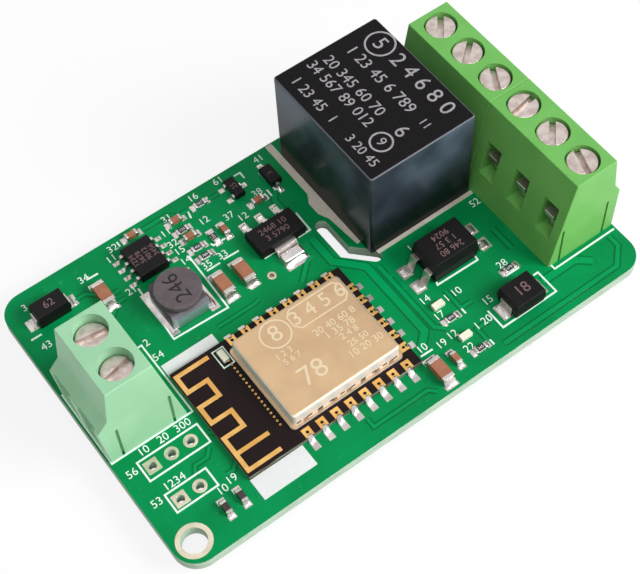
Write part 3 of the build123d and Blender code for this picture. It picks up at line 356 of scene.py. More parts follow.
def relay_shell():
    """Black cover: grained on top; polished sides with a bluish painted reflection; painted rim
    highlight.
    """
    low, high = box_mm("relay_cover")
    finish = Finish("relay_shell")
    up = finish.facing()
    top = finish.step(up, 0.5, 0.9)
    # Painted highlight on the rim: nothing on a flat or a wall, and 1 halfway between them
    rim_highlight = finish.step((up - up * up) * 4, 0.2, 0.9)
    grains = finish.clouds(0.16, 5)
    # Soft smears in the roughness, which also break up the painted reflection on the sides
    smears_and_reflection = finish.step(finish.clouds(9, 2), 0.35, 0.7)
    toward_top = finish.step(finish.z, low.z, high.z)
    # Painted reflection on the sides: a bluish grey that grows toward the top
    side = finish.mix(toward_top * (0.3 + smears_and_reflection * 0.7), paint(12, 15, 17), paint(84, 98, 112))
    grained = finish.mix(finish.step(grains, 0.55, 0.75), paint(14, 12, 14), paint(30, 27, 30))
    return finish.surface(
        # The rim's paler grey is a painted highlight
        Base_Color=finish.mix(rim_highlight, finish.mix(top, side, grained), paint(104, 106, 114)),
        Roughness=0.2 + top * 0.36 + smears_and_reflection * 0.08,
        Normal=finish.relief(grains * top, 0.008),
        Specular_IOR_Level=0.1,
    )


relay_black = relay_shell()

# %% [markdown]
# Chip capacitors are fired clay-brown ceramic, and chip resistors are white ceramic with a black
# glaze on top. Ferrite is pressed grey powder, dull and finely pitted, and the inductor's lower
# flange is silvered where the winding's ends are soldered. The lamps are a milky resin with a
# clear skin, for which a coat over a pale body does well.


# %% Ceramics and resin
def capacitor_finish():
    """Fired clay: brown on most chips, near black on the two beside the short header."""
    corner = box_mm("circuit_board")[0]
    dark_length = 12.0
    dark_width = 6.0
    finish = Finish("ceramic")
    flecks = finish.clouds(0.09, 4)
    shade = finish.step(flecks * 0.6 + finish.clouds(1.2) * 0.4, 0.35, 0.65)
    brown = finish.mix(shade, paint(168, 112, 86), paint(148, 94, 70))
    dark = finish.mix(shade, paint(62, 52, 50), paint(44, 36, 36))
    left = finish.step(corner.x + dark_length - finish.x, 0.0, 0.1)
    front = finish.step(corner.y + dark_width - finish.y, 0.0, 0.1)
    return finish.surface(
        Base_Color=finish.mix(left * front, brown, dark),
        Roughness=0.4 + flecks * 0.15,
        Normal=finish.relief(flecks, 0.006),
        Specular_IOR_Level=0.35,
    )


ceramic = capacitor_finish()


def drum_finish():
    """Ferrite, silvered on the front of its lower flange, where the winding's ends are soldered."""
    flange_height = 1.72
    silvered_depth = 0.9
    low = box_mm("inductor_core")[0]
    flange_top = low.z + flange_height
    flange_front = low.y + silvered_depth
    finish = Finish("ferrite")
    flecks = finish.clouds(0.09, 4)
    shade = finish.step(flecks * 0.6 + finish.clouds(1.2) * 0.4, 0.35, 0.65)
    ahead = finish.step(flange_front + finish.clouds(0.5) * 0.5 - finish.y, 0.2, 0.5)
    silvered = finish.step(flange_top - finish.z, 0.0, 0.05) * ahead
    grey = finish.mix(shade, paint(98, 88, 92), paint(78, 70, 74))
    return finish.surface(
        Base_Color=finish.mix(silvered, grey, paint(176, 186, 196)),
        Roughness=0.6 + flecks * 0.15 - silvered * 0.32,
        Metallic=silvered * 0.9,
        Normal=finish.relief(flecks, 0.01),
        Specular_IOR_Level=0.35,
    )


ferrite = drum_finish()


def resistor_finish():
    finish = Finish("resistor_glaze")
    glazed = finish.step(finish.facing(), 0.4, 0.7)
    specks = finish.clouds(0.12)
    clay = finish.mix(specks, paint(226, 222, 216), paint(204, 200, 194))
    return finish.surface(
        Base_Color=finish.mix(glazed, clay, paint(26, 24, 30)),
        Roughness=0.5 - glazed * 0.25 + specks * 0.1,
        Normal=finish.relief(specks, 0.004),
    )


def lamp_finish():
    finish = Finish("lamp_resin")
    haze = finish.clouds(0.35)
    return finish.surface(
        Base_Color=finish.mix(haze, paint(244, 242, 226), paint(222, 220, 190)),
        Roughness=0.24 + haze * 0.14,
        Normal=finish.relief(haze, 0.006),
        Coat_Weight=0.6,
        Subsurface_Weight=0.2,
        Subsurface_Radius=(0.0006, 0.0006, 0.0004),
    )


def printed(name, ink, worn, roughness=0.5):
    """Screen-printed ink, a little thin in places."""
    finish = Finish(name)
    thin = finish.step(finish.clouds(0.5, 4), 0.4, 0.9)
    return finish.surface(
        Base_Color=finish.mix(thin, ink, worn),
        Roughness=roughness + thin * 0.15,
        Normal=finish.relief(thin, 0.003),
        Specular_IOR_Level=0.2,
    )


resistor_glaze = resistor_finish()
lamp_resin = lamp_finish()
board_ink = printed("board_ink", paint(232, 246, 238), paint(206, 232, 218))
area_ink = printed("area_ink", paint(224, 226, 226), paint(218, 220, 220))
relay_ink = printed("relay_ink", paint(162, 158, 162), paint(128, 124, 128))
chip_ink = printed("chip_ink", paint(122, 96, 98), paint(92, 72, 76))
lid_ink = printed("lid_ink", paint(226, 206, 174), paint(216, 194, 162), 0.4)
strip_ink = printed("strip_ink", paint(206, 200, 186), paint(190, 182, 168))
# Painted shade: a dark coat, made like ink, for the inside of the lid's notches
painted_notch_shade = printed("painted_notch_shade", paint(28, 24, 22), paint(44, 38, 34))
dark_ink = printed("dark_ink", paint(40, 34, 38), paint(52, 46, 50))
print("finishes made:", len(bpy.data.materials))

# %% [markdown]
# The imported record says which finish each piece takes, as a painter's schedule would. Two kinds
# are given separately: the plating of the header rings is paler than the gold of the radio module,
# and each screw has circles round its own axis.

# %% Give each piece its finish
schedule = {
    "board_laminate": board_mask, "radio_board_laminate": radio_mask, "gold_plating": gold,
    "solder": solder, "shield_metal": champagne, "relay_plastic": relay_black,
    "relay_inner_plastic": relay_inner, "copper_wire": copper, "relay_iron": relay_iron,
    "contact_metal": contact_metal, "pale_terminal_plastic": pale_plastic,
    "green_terminal_plastic": green_plastic, "screw_nickel": cage_nickel,
    "cage_nickel": cage_nickel, "capacitor_ceramic": ceramic, "resistor_glaze": resistor_glaze,
    "lamp_resin": lamp_resin, "ferrite": ferrite, "tinned_metal": tinned,
    "black_moulding": black_moulding,
}


def dress(node, finish):
    """Put one finish into every material slot of a piece of the frame."""
    materials = nodes[node].data.materials
    for place in range(len(materials)):
        materials[place] = finish.material


for part in frame["record"]["subparts"]:
    dress(part["node"], schedule[part["material_slot"]])
    if "_screw_" in part["node"]:
        low, high = box_mm(part["node"])
        centre = (low + high) / 2
        dress(part["node"], turned_nickel(f"turned_{part['node']}", centre.x, centre.y))
dress("header_pads", pale_plating)

# %% [markdown]
# Real edges are never razor sharp: a stamped lead, a cut board and a moulded case all have a
# small round that catches the light. The frame's meshes stay as they are, so the rounding is a
# modifier. The imported faces don't share their corners, so a Weld comes first, and then a
# Bevel on the edges that turn sharply. Widths are in millimetres.

# %% Small rounds on sharp edges
edge_rounds = {
    0.012: ["header_pads", "radio_module_pads", "radio_antenna"],
    0.02: ["relay_contact_spring"],
    0.03: [
        "radio_module_board", "resistors", "converter_leads", "regulator_leads", "diode_leads",
        "optocoupler_leads", "transistor_leads", "inductor_feet",
    ],
    0.04: ["ceramic_capacitors"],
    0.05: [
        "relay_closed_contact", "relay_open_contact", "relay_coil_and_common_pins", "radio_chips",
    ],
    0.06: [
        "inductor_core", "supply_terminal_contacts", "output_terminal_contacts", "relay_armature",
        "relay_core", "relay_bobbin", "relay_moving_contact", "relay_base",
    ],
    0.08: ["circuit_board", "indicator_leds", "relay_yoke"],
    0.1: ["chip_end_caps"],
}
edge_rounds[0.06] += [name for name in nodes if "_clamp_cage_" in name]
edge_rounds[0.03] += [name for name in nodes if "_screw_" in name]
same_place = 0.001 * MM
sharp_turn = math.radians(38)


def soften(node, width):
    """Round the sharp edges of a piece of the frame by width millimetres."""
    weld = nodes[node].modifiers.new("meet", "WELD")
    weld.merge_threshold = same_place
    round_edges = nodes[node].modifiers.new("rounds", "BEVEL")
    round_edges.width = width * MM
    round_edges.segments = 2
    round_edges.limit_method = "ANGLE"
    round_edges.angle_limit = sharp_turn
    round_edges.harden_normals = True


for width, pieces in edge_rounds.items():
    for piece in pieces:
        soften(piece, width)
print("pieces with rounded edges:", sum(map(len, edge_rounds.values())))

# %% [markdown]
# New pieces are drawn in millimetres and then put into metres at once. A flat outline with a
# thickness makes print, pads and tracks, and a row of outlines that are joined makes solder.
# Each new piece rides on the board.


# %% Making new pieces
class Drawing:
    """Faces of one new piece, drawn in millimetres."""

    def __init__(self):
        self.mesh = bmesh.new()

    def join(self, loop, other):
        """A strip of faces between two outlines."""
        for index in range(len(loop)):
            after = (index + 1) % len(loop)
            self.mesh.faces.new((loop[index], loop[after], other[after], other[index]))

    def skin(self, sections):
        """Join a row of outlines and close both ends."""
        loops = [[self.mesh.verts.new(point) for point in section] for section in sections]
        for loop, other in zip(loops, loops[1:]):
            self.join(loop, other)
        self.mesh.faces.new(loops[0][::-1])
        self.mesh.faces.new(loops[-1])

    def plate(self, outline, bottom, top):
        """A flat outline with a thickness."""
        self.skin([[(x, y, z) for x, y in outline] for z in (bottom, top)])

    def ring(self, x, y, inner, outer, bottom, top, sides=40):
        """A flat ring, such as a pad round a hole."""
        turns = [2 * math.pi * side / sides for side in range(sides)]
        loops = [
            [self.mesh.verts.new((x + r * math.cos(t), y + r * math.sin(t), z)) for t in turns]
            for r, z in ((outer, bottom), (outer, top), (inner, top), (inner, bottom))
        ]
        for loop, other in zip(loops, loops[1:] + loops[:1]):
            self.join(loop, other)

    def finish(self, name, finish, slot=None, smooth=None):
        """Turn the drawing into a piece of the scene that rides on the board."""
        bmesh.ops.recalc_face_normals(self.mesh, faces=self.mesh.faces)
        data = bpy.data.meshes.new(name)
        self.mesh.to_mesh(data)
        self.mesh.free()
        data.transform(Matrix.Scale(MM, 4))
        data.materials.append(finish.material)
        piece = bpy.data.objects.new(name, data)
        bpy.context.scene.collection.objects.link(piece)
        if smooth:
            data.shade_smooth()
            data.set_sharp_from_angle(angle=math.radians(smooth))
        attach(piece, "board")
        print(name, "faces:", len(data.polygons))


# %% [markdown]
# Print and tracks are lines of an even width that turn corners. Two neighbouring runs meet on
# the line that halves their angle, so a corner is mitred as on a picture frame.


# %% Lines with mitred corners
def band(drawing, points, width, bottom, top, closed=False):
    """A line of an even width through points, with mitred corners."""
    sharpest_mitre = 0.35
    spots = [Vector(point) for point in points]
    count = len(spots)
    left = []
    right = []
    for index, spot in enumerate(spots):
        before = spots[index - 1] if closed or index else spots[index]
        after = spots[(index + 1) % count] if closed or index < count - 1 else spots[index]
        runs = [run.normalized() for run in (spot - before, after - spot) if run.length > 0]
        side = sum((Vector((-run.y, run.x)) for run in runs), Vector((0, 0))).normalized()
        reach = width / 2 / max(sharpest_mitre, side.dot(Vector((-runs[0].y, runs[0].x))))
        left.append(spot + side * reach)
        right.append(spot - side * reach)
    for index in range(count if closed else count - 1):
        after = (index + 1) % count
        corners = (right[index], right[after], left[after], left[index])
        drawing.plate(corners, bottom, top)


def rectangle(left, front, right, back):
    return [(left, front), (right, front), (right, back), (left, back)]


# %% [markdown]
# Print on a board is generic here: frames round the parts, and plain numbers where the board
# has its labels. A number is a font curve, turned into a mesh, so that it has a real edge.


# %% Numbers
ink_thickness = 0.015
fine_ink = 0.008
font_size_of_height = 1.4


def figures(drawing, text, x, y, level, height, turn=0.0, thickness=ink_thickness):
    """Plain figures centred on x and y, height millimetres tall, turned by turn degrees."""
    curve = bpy.data.curves.new("figures", "FONT")
    curve.body = text
    curve.size = height * font_size_of_height
    curve.align_x = "CENTER"
    curve.align_y = "CENTER"
    curve.extrude = thickness / 2
    curve.resolution_u = 3
    letters = bpy.data.objects.new("figures", curve)
    bpy.context.scene.collection.objects.link(letters)
    bpy.context.view_layer.update()
    depsgraph = bpy.context.evaluated_depsgraph_get()
    mesh = bpy.data.meshes.new_from_object(letters.evaluated_get(depsgraph))
    place = Matrix.Translation((x, y, level + thickness / 2))
    mesh.transform(place @ Matrix.Rotation(math.radians(turn), 4, "Z"))
    drawing.mesh.from_mesh(mesh)
    bpy.data.objects.remove(letters)
    bpy.data.curves.remove(curve)
    bpy.data.meshes.remove(mesh)


# %% [markdown]
# Places on the board are measured from its own corner, as a board maker does. The corner and
# the heights are read from the frame.

# %% Places on the board
board_low, board_high = box_mm("circuit_board")
board_top = board_high.z
board_under = board_low.z


def on_board(points):
    """Points measured from the board's corner, in the frame's place."""
    return [(board_low.x + x, board_low.y + y) for x, y in points]


# %% [markdown]
# A piece of the frame may hold many solids, such as all the chip ends. Its mesh is split into
# islands, each with its own box, so that solder and pads follow the real parts.


# %% Find the solids inside a piece
def islands(node):
    """The lowest and highest corner of each solid in a piece, in millimetres."""
    work = bmesh.new()
    work.from_mesh(nodes[node].data)
    bmesh.ops.remove_doubles(work, verts=work.verts, dist=same_place)
    unseen = set(work.verts)
    boxes = []
    while unseen:
        start = unseen.pop()
        to_visit = [start]
        group = [start.co.copy()]
        while to_visit:
            here = to_visit.pop()
            for link in here.link_edges:
                other = link.other_vert(here)
                if other in unseen:
                    unseen.remove(other)
                    to_visit.append(other)
                    group.append(other.co.copy())
        low = Vector([min(point[axis] for point in group) for axis in range(3)]) / MM
        high = Vector([max(point[axis] for point in group) for axis in range(3)]) / MM
        boxes.append((low, high))
    work.free()
    return sorted(boxes, key=lambda box: (round(box[0].x, 3), round(box[0].y, 3)))


def outward(lead, bodies):
    """Which way a lead leaves the nearest body: one step along X or Y."""
    spot = (lead[0] + lead[1]) / 2
    body = min(bodies, key=lambda box: ((box[0] + box[1]) / 2 - spot).length)
    past = [max(body[0][axis] - spot[axis], spot[axis] - body[1][axis]) for axis in (0, 1)]
    axis = 0 if past[0] > past[1] else 1
    sign = 1 if spot[axis] > (body[0][axis] + body[1][axis]) / 2 else -1
    return Vector((sign, 0)) if axis == 0 else Vector((0, sign))


# %% [markdown]
# Molten solder climbs a lead and runs out over its pad, and freezes as a hollow slope. Here it
# is a row of arched outlines that sink away from the lead, swell a little on the way and draw
# in at the toe.


# %% Solder slopes
arch_outline = ((-1, 0), (-0.86, 0.7), (-0.45, 0.97), (0, 1), (0.45, 0.97), (0.86, 0.7), (1, 0))
hollow = 1.9
toe_height = 0.02
swell = 0.1
drawn_in = 0.35
lead_sink = 0.06
pad_thickness = 0.03
pad_top = board_top + pad_thickness
slopes = Drawing()


def slope(start, way, width, height, run, sink):
    """A hollow slope of solder on a pad, from sink behind start and out along way."""
    across = Vector((-way.y, way.x))
    steps = 6
    sections = []
    for step in range(steps + 1):
        t = step / steps
        rise = height * (1 - t) ** hollow + toe_height
        half = width / 2 * (1 + swell * math.sin(math.pi * t)) * (1 - drawn_in * t**4)
        spot = start + way * (run * t - sink)
        arch = []
        for share, lift in arch_outline:
            point = spot + across * half * share
            arch.append((point.x, point.y, pad_top + rise * lift))
        sections.append(arch)
    slopes.skin(sections)


# %% [markdown]
# Every chip end and lead stands on a tinned pad with a slope of solder in front of it. The pads
# and slopes are worked out from the solids of the frame: the outer face of each gives the place
# and its width the width. On a chip its height also says how far the solder climbs, and the
# leads have their own table. The regulator's wide tab gets a longer mound.


# %% Solder and pads of the parts on the board
chip_margin = 0.08
pad_rim = 0.16
pads = Drawing()


def bare_pad(start, way, half, reach):
    """A flat pad that runs from start along way, as wide as twice half."""
    across = Vector((-way.y, way.x)) * half
    front = start + way * reach
    corners = (start - across, front - across, front + across, start + across)
    pads.plate(corners, board_top, pad_top)


def width_across(solid, way):
    """How wide a solid is, seen along way."""
    size = solid[1] - solid[0]
    return size.y if way.x else size.x


def tinned_foot(solid, way, climb, run, pad_back, pad_front, margin, sink):
    """The pad in front of one lead or chip end, and the solder on it."""
    low, high = solid
    width = width_across(solid, way)
    tip = ((low + high) / 2).xy + way * ((high - low) / 2).xy
    bare_pad(tip - way * pad_back, way, width / 2 + margin, pad_back + pad_front)
    slope(tip, way, width, climb, run, sink)


chip_bodies = islands("ceramic_capacitors") + islands("resistors")
for solid in islands("chip_end_caps"):
    way = outward(solid, chip_bodies)
    tall = solid[1].z - solid[0].z
    climb = tall * 0.7
    run = 0.26 + tall * 0.34
    pad_front = 0.4 + tall * 0.3
    tinned_foot(solid, way, climb, run, 0, pad_front, chip_margin, lead_sink)

# Node of the leads, node of their bodies, climb and run of the solder, margin of the pad
lead_nodes = (
    ("converter_leads", "converter_body", 0.3, 0.3, 0.08),
    ("regulator_leads", "regulator_body", 0.45, 0.55, 0.12),
    ("optocoupler_leads", "optocoupler_body", 0.5, 0.6, 0.3),
    ("diode_leads", "diode_bodies", 0.4, 0.5, 0.12),
    ("transistor_leads", "transistor_body", 0.25, 0.3, 0.1),
    ("inductor_feet", "inductor_core", 0.3, 0.5, 0.6),
)
wide_tab = 2.0
# Climb, run and sink: it starts inside the tab's own edge
tab_mound = (0.78, 1.0, -0.5)
for lead_node, body_node, climb, run, margin in lead_nodes:
    bodies = islands(body_node)
    for solid in islands(lead_node):
        way = outward(solid, bodies)
        tab = body_node == "regulator_body" and width_across(solid, way) > wide_tab
        rise, reach, sink = tab_mound if tab else (climb, run, lead_sink)
        pad_back = run * 1.2
        pad_front = reach + pad_rim - sink
        tinned_foot(solid, way, rise, reach, pad_back, pad_front, margin, sink)

module_low, module_high = box_mm("radio_module_board")
module_run = 0.95
module_front_reach = 1.5
module_back_reach = 0.7
module_side_reach = 1.0
module_solder_width = 0.86
module_solder_rise = 0.04
module_climb = module_high.z - board_top + module_solder_rise
module_sink = 0.16
for low, high in islands("radio_module_pads"):
    spot = ((low + high) / 2).xy
    edges = (
        (Vector((0, -1)), Vector((spot.x, module_low.y)), module_front_reach),
        (Vector((0, 1)), Vector((spot.x, module_high.y)), module_back_reach),
        (Vector((1, 0)), Vector((module_high.x, spot.y)), module_side_reach),
    )
    way, edge, reach = min(edges, key=lambda side: (side[1] - spot).length)
    bare_pad(edge, way, module_solder_width / 2, reach)
    run = module_run * reach / module_front_reach
    slope(edge, way, module_solder_width, module_climb, run, module_sink)

# Bare rings round the screw hole, above and below, and round the pins below
screw_hole, screw_ring = 1.52, 2.1
pad_under = board_under - pad_thickness
screw_pads = Drawing()
for low, high in ((board_top, pad_top), (pad_under, board_under)):
    screw_pads.ring(0, 0, screw_hole, screw_ring, low, high, 64)
screw_pads.finish("screw_hole_rings", pale_plating, "gold_plating")
pin_solder, pin_ring = 1.1, 1.5
for low, high in islands("solder"):
    if low.z < board_under:
        spot = (low + high) / 2
        pads.ring(spot.x, spot.y, pin_solder, pin_ring, pad_under, board_under)
slopes.finish("solder_slopes", solder, "solder", smooth=50)
pads.finish("bare_pads", tinned, "tinned_metal")

# %% [markdown]
# Copper tracks lie under the green lacquer, so they show as low ridges of a paler green with a
# darker gap beside them, and the small holes that join both sides are lacquered over as dots.
# The routes on top follow what can be seen of the real ones, and those below are guessed.
# Where two tracks cross, each is a hair higher than the one before, so no two faces coincide.

# %% Tracks under the lacquer
track_height = 0.035
tracks = (
    (0.9, [(35.6, 26.6), (35.6, 22.4), (38.4, 19.3), (38.4, 8.2), (36.7, 6.6), (36.7, 5.9)]),
    (0.5, [(39.6, 18.6), (39.6, 7.9), (40.6, 6.9)]),
    (0.5, [(44.6, 1.3), (55.0, 1.3), (62.0, 1.3), (64.1, 3.4), (64.1, 5.0)]),
    (0.5, [(34.2, 24.4), (33.4, 24.4), (31.0, 22.2)]),
    (0.4, [(13.1, 34.6), (11.6, 34.6), (9.6, 36.6), (7.6, 36.6)]),
    (0.4, [(13.1, 33.2), (11.9, 33.2), (10.0, 31.4), (10.0, 28.2)]),
    (0.35, [(11.0, 12.6), (12.1, 11.5), (12.1, 8.5), (10.7, 7.1), (9.8, 7.1)]),
    (0.35, [(6.8, 8.9), (7.6, 10.1), (9.2, 10.1), (10.1, 11.0)]),
    (0.5, [(26.3, 39.2), (24.6, 39.2), (23.4, 40.2), (20.0, 40.2)]),
    (0.35, [(28.2, 39.0), (30.4, 39.0)]), (0.6, [(36.6, 35.4), (35.3, 34.0), (35.3, 28.6)]),
    (0.4, [(45.3, 8.0), (43.7, 8.0), (43.7, 11.0)]),
    (0.4, [(45.2, 4.7), (43.4, 4.7), (43.4, 2.6)]),
    (0.35, [(19.6, 23.2), (24.5, 23.2), (25.6, 23.4)]),
    (0.35, [(26.2, 3.2), (26.2, 1.9), (33.8, 1.9), (34.6, 1.1)]),
    (0.9, [(53.6, 5.0), (58.6, 5.0), (60.2, 3.6)]), (0.5, [(53.8, 10.8), (53.8, 14.4)]),
)
sunk = Drawing()
raised = Drawing()
gap_width = 0.22
gap_height = track_height * 0.3
level_step = 0.0004
for order, (width, route) in enumerate(tracks):
    lift = order * level_step
    band(sunk, on_board(route), width + gap_width * 2, board_top, board_top + gap_height + lift)
    band(raised, on_board(route), width, board_top, board_top + track_height + lift)
under_tracks = (
    (0.9, [(7.2, 18.5), (14.0, 18.5), (18.0, 14.4), (33.0, 14.4)]),
    (0.9, [(7.2, 23.6), (16.0, 23.6), (20.0, 27.6), (29.0, 27.6)]),
    (1.6, [(47.6, 22.2), (47.6, 17.0), (57.2, 8.7)]),
    (1.6, [(41.7, 37.8), (41.7, 40.0), (54.0, 40.0), (56.4, 34.0)]),
    (1.6, [(53.5, 37.8), (57.2, 29.0)]),
    (0.6, [(41.7, 25.6), (41.7, 18.4), (40.3, 17.0), (30.0, 17.0), (26.0, 13.0)]),
    (0.6, [(53.5, 25.6), (50.0, 12.0), (40.0, 6.0)]),
    (0.6, [(6.3, 12.9), (12.0, 7.6), (30.0, 7.6), (34.0, 4.0)]),
    (0.6, [(8.9, 12.9), (13.0, 9.4), (28.0, 9.4)]),
    (0.6, [(4.1, 7.7), (4.1, 5.6), (12.0, 3.4), (44.0, 3.4)]),
)
for order, (width, route) in enumerate(under_tracks):
    depth = track_height + order * level_step
    band(raised, on_board(route), width, board_under - depth, board_under)
small_vias = (
    (8.0, 40.0), (10.2, 40.1), (4.0, 40.0), (6.0, 40.2), (12.7, 30.2), (12.7, 28.1), (12.7, 31.8),
    (59.06, 4.8), (1.4, 30.0), (1.5, 34.8), (24.6, 27.2), (25.4, 25.2), (23.6, 28.9), (17.0, 23.6),
    (33.6, 40.4), (16.9, 38.9), (19.6, 39.2), (1.2, 11.6), (1.3, 9.4), (1.6, 6.4), (9.8, 8.9),
    (11.6, 10.4), (8.6, 3.4), (11.2, 3.0), (34.6, 2.6), (33.0, 1.0), (21.0, 1.4), (15.4, 1.2),
    (44.9, 14.6), (45.4, 17.4), (57.6, 11.5), (60.8, 3.3), (48.6, 2.4), (51.7, 13.6), (34.8, 26.4),
    (33.4, 32.6), (31.8, 28.4), (30.7, 26.8), (9.7, 29.4), (40.2, 14.2), (39.9, 16.6), (6.4, 4.2),
)
via_pin, via_hollow, via_edge = 0.02, 0.1, 0.28
via_level = board_top + track_height * 1.4
for x, y in on_board(small_vias):
    raised.ring(x, y, via_hollow, via_edge, board_top, via_level, 20)
    sunk.ring(x, y, via_pin, via_hollow, board_top, via_level, 20)
sunk.finish("track_gaps", sunk_mask, "board_laminate")
raised.finish("tracks", raised_mask, "board_laminate")

# %% [markdown]
# The white print frames the parts and fills the keep-out areas under the antenna and round the
# relay. Its labels are plain numbers here, in the places where a board has its labels.

# %% Print on the board
print_thickness = 0.05
print_top = board_top + print_thickness
line_width = 0.22
print_frames = (
    rectangle(0.35, 15.85, 11.1, 26.6),
    rectangle(2.6, 11.5, 10.6, 14.25),
    rectangle(2.95, 6.6, 8.35, 9.15),
)
open_lines = (
    [(15.0, 33.4), (14.6, 25.0), (22.05, 24.7), (22.35, 33.6)],
    [(55.9, 6.6), (55.9, 5.45), (65.3, 5.45)],
    [(43.8, 12.9), (43.5, 12.15), (49.5, 12.0), (49.6, 12.6)],
    [(45.9, 5.8), (45.9, 3.0), (54.0, 3.0), (54.0, 6.3), (53.3, 6.3)],
    [(29.4, 30.7), (29.5, 27.7), (31.2, 27.7)], [(34.4, 27.7), (36.2, 27.7), (36.3, 30.8)],
    [(22.9, 30.45), (24.8, 30.45)], [(25.4, 30.6), (27.6, 30.5)],
    [(25.45, 33.4), (25.6, 33.0), (27.3, 33.0)], [(25.87, 39.0), (25.66, 38.0)],
    [(35.47, 35.8), (35.44, 34.65)], [(33.4, 40.0), (34.3, 40.0), (34.3, 39.0)],
    [(36.2, 38.5), (36.3, 35.2), (36.9, 35.0)], [(10.7, 38.2), (12.3, 38.15)],
    [(16.5, 40.6), (16.5, 39.8)], [(1.2, 35.0), (2.6, 35.0)], [(35.9, 5.75), (37.6, 5.7)],
    [(43.67, 7.1), (43.67, 7.9)], [(43.63, 1.9), (43.63, 2.7)],
    [(50.6, 8.2), (52.6, 8.2), (52.6, 9.1)],
)
board_lines = Drawing()
for outline in print_frames:
    band(board_lines, on_board(outline), line_width, board_top, print_top, closed=True)
for line in open_lines:
    band(board_lines, on_board(line), line_width, board_top, print_top)
labels = (
    (41.0, 11.4, "14"), (44.1, 10.05, "1 10"), (41.0, 8.7, "17"), (40.6, 5.8, "12"),
    (44.5, 4.95, "1 20"), (38.85, 5.6, "19"), (41.1, 3.3, "22"), (36.7, 6.5, "10"),
    (51.4, 9.75, "28"), (46.8, 6.9, "15"), (44.1, 18.1, "1"), (54.5, 18.6, "52"),
    (30.8, 34.25, "12"), (29.5, 35.4, "37"), (26.7, 36.7, "12"), (25.7, 31.2, "33"),
    (23.4, 31.15, "35"), (34.25, 36.15, "38"), (27.5, 40.4, "16"), (23.2, 39.75, "31"),
    (22.0, 38.05, "11"), (21.8, 36.2, "32"), (21.9, 34.85, "15"), (21.7, 33.2, "14"),
    (10.5, 38.5, "34"), (15.6, 40.1, "32"), (14.7, 38.9, "11"), (14.2, 33.6, "21"),
    (37.35, 40.3, "41"), (31.4, 40.6, "61"), (2.8, 39.3, "3"), (11.75, 26.5, "2"),
    (11.9, 24.2, "54"), (2.3, 33.3, "43"), (1.5, 13.5, "56"), (1.8, 8.9, "53"),
    (8.4, 5.85, "10"), (9.9, 6.3, "19"), (4.0, 15.05, "10"), (6.6, 15.05, "20"),
    (9.2, 15.05, "300"), (4.7, 9.85, "1234"),
)
label_height = 1.0
label_thickness = level_step * 2
for x, y, text in labels:
    x, y = on_board([(x, y)])[0]
    figures(board_lines, text, x, y, print_top, label_height, 0, label_thickness)
board_lines.finish("board_print", board_ink)

areas = Drawing()
area_gap = 0.02
area_left, area_right = 11.4, 18.5
module_front = module_low.y - board_low.y - area_gap
module_back = module_high.y - board_low.y + area_gap
for front, back in ((2.05, module_front), (module_back, 22.9)):
    outline = rectangle(area_left, front, area_right, back)
    areas.plate(on_board(outline), board_top, print_top)
areas.finish("printed_areas", area_ink)

strips = Drawing()
for strip in (
    [
        (39.06, 41.3), (39.06, 32.2), (38.35, 30.9), (38.35, 29.0),
        (39.0, 27.6), (39.5, 22.6), (40.0, 22.6), (40.0, 41.3),
    ],
    [(40.7, 19.85), (55.3, 19.85), (55.3, 20.4), (40.7, 20.4)],
):
    strips.plate(on_board(strip), board_top, print_top)
strips.finish("relay_strips", strip_ink)

# %% [markdown]
# The relay's cover, the shield's lid and the chips carry print of their own. It is kept generic:
# rows of plain numbers in the sizes and directions that such marks have. The relay's rows read
# along its long side, the lid's rows along the board.

# %% Marks on the relay, the shield and the chips
# Distance from the cover's far right edge, height, place along the long side, figures
relay_low, relay_high = box_mm("relay_cover")
relay_rows = (
    (2.1, 2.0, 0.195, "5"),
    (10.9, 1.3, 0.808, "9"),
    (2.0, 2.1, 0.607, "2 4 6 8 0"),
    (5.35, 1.55, 0.42, "1 23 45 6 789"),
    (8.4, 1.45, 0.36, "20 345 60 70"),
    (10.4, 1.45, 0.357, "34 567 89 012"),
    (13.3, 1.4, 0.245, "1 23 45"),
    (13.3, 1.3, 0.49, "1"),
    (5.4, 1.1, 0.86, "11"),
    (8.2, 1.9, 0.82, "6"),
    (13.4, 1.25, 0.788, "3 20 45"),
)
relay_marks = Drawing()
relay_print_top = relay_high.z + ink_thickness
relay_length_mm = relay_high.y - relay_low.y
for inset, height, share, text in relay_rows:
    x = relay_high.x - inset
    y = relay_high.y - relay_length_mm * share
    figures(relay_marks, text, x, y, relay_high.z, height, -90)
badge_line = 0.24
for inset, share, radius in ((2.1, 0.195, 1.95), (10.9, 0.808, 1.45)):
    x = relay_high.x - inset
    y = relay_high.y - relay_length_mm * share
    relay_marks.ring(x, y, radius - badge_line, radius, relay_high.z, relay_print_top, 48)
relay_marks.finish("relay_print", relay_ink)

lid_low, lid_high = box_mm("radio_shield_lid")
lid_print_top = lid_high.z + fine_ink
lid_marks = Drawing()
lid_rows = (
    (4.67, 2.3, 2.2, "8"),
    (10.8, 2.05, 1.9, "3 4 5 6"),
    (11.0, 5.0, 0.95, "20 40 60 8"),
    (11.0, 6.1, 0.95, "1 35 78"),
    (11.5, 7.2, 0.85, "2 4 8"),
    (11.8, 8.5, 0.85, "25 50"),
    (12.0, 9.7, 0.95, "10 20 30"),
    (3.97, 4.95, 0.8, "1 2 3"),
    (4.4, 6.0, 0.8, "5 6 7"),
    (5.2, 8.9, 2.5, "78"),
)
for x, drop, height, text in lid_rows:
    figures(lid_marks, text, lid_low.x + x, lid_high.y - drop, lid_high.z, height, 0, fine_ink)
x, drop = lid_rows[0][:2]
lid_marks.ring(lid_low.x + x, lid_high.y - drop, 1.75, 1.95, lid_high.z, lid_print_top, 48)
badge_outline = (
    (6.95, 2.8), (7.65, 3.5), (13.8, 3.5), (14.5, 2.8),
    (14.5, 1.35), (13.8, 0.65), (7.65, 0.65), (6.95, 1.35),
)
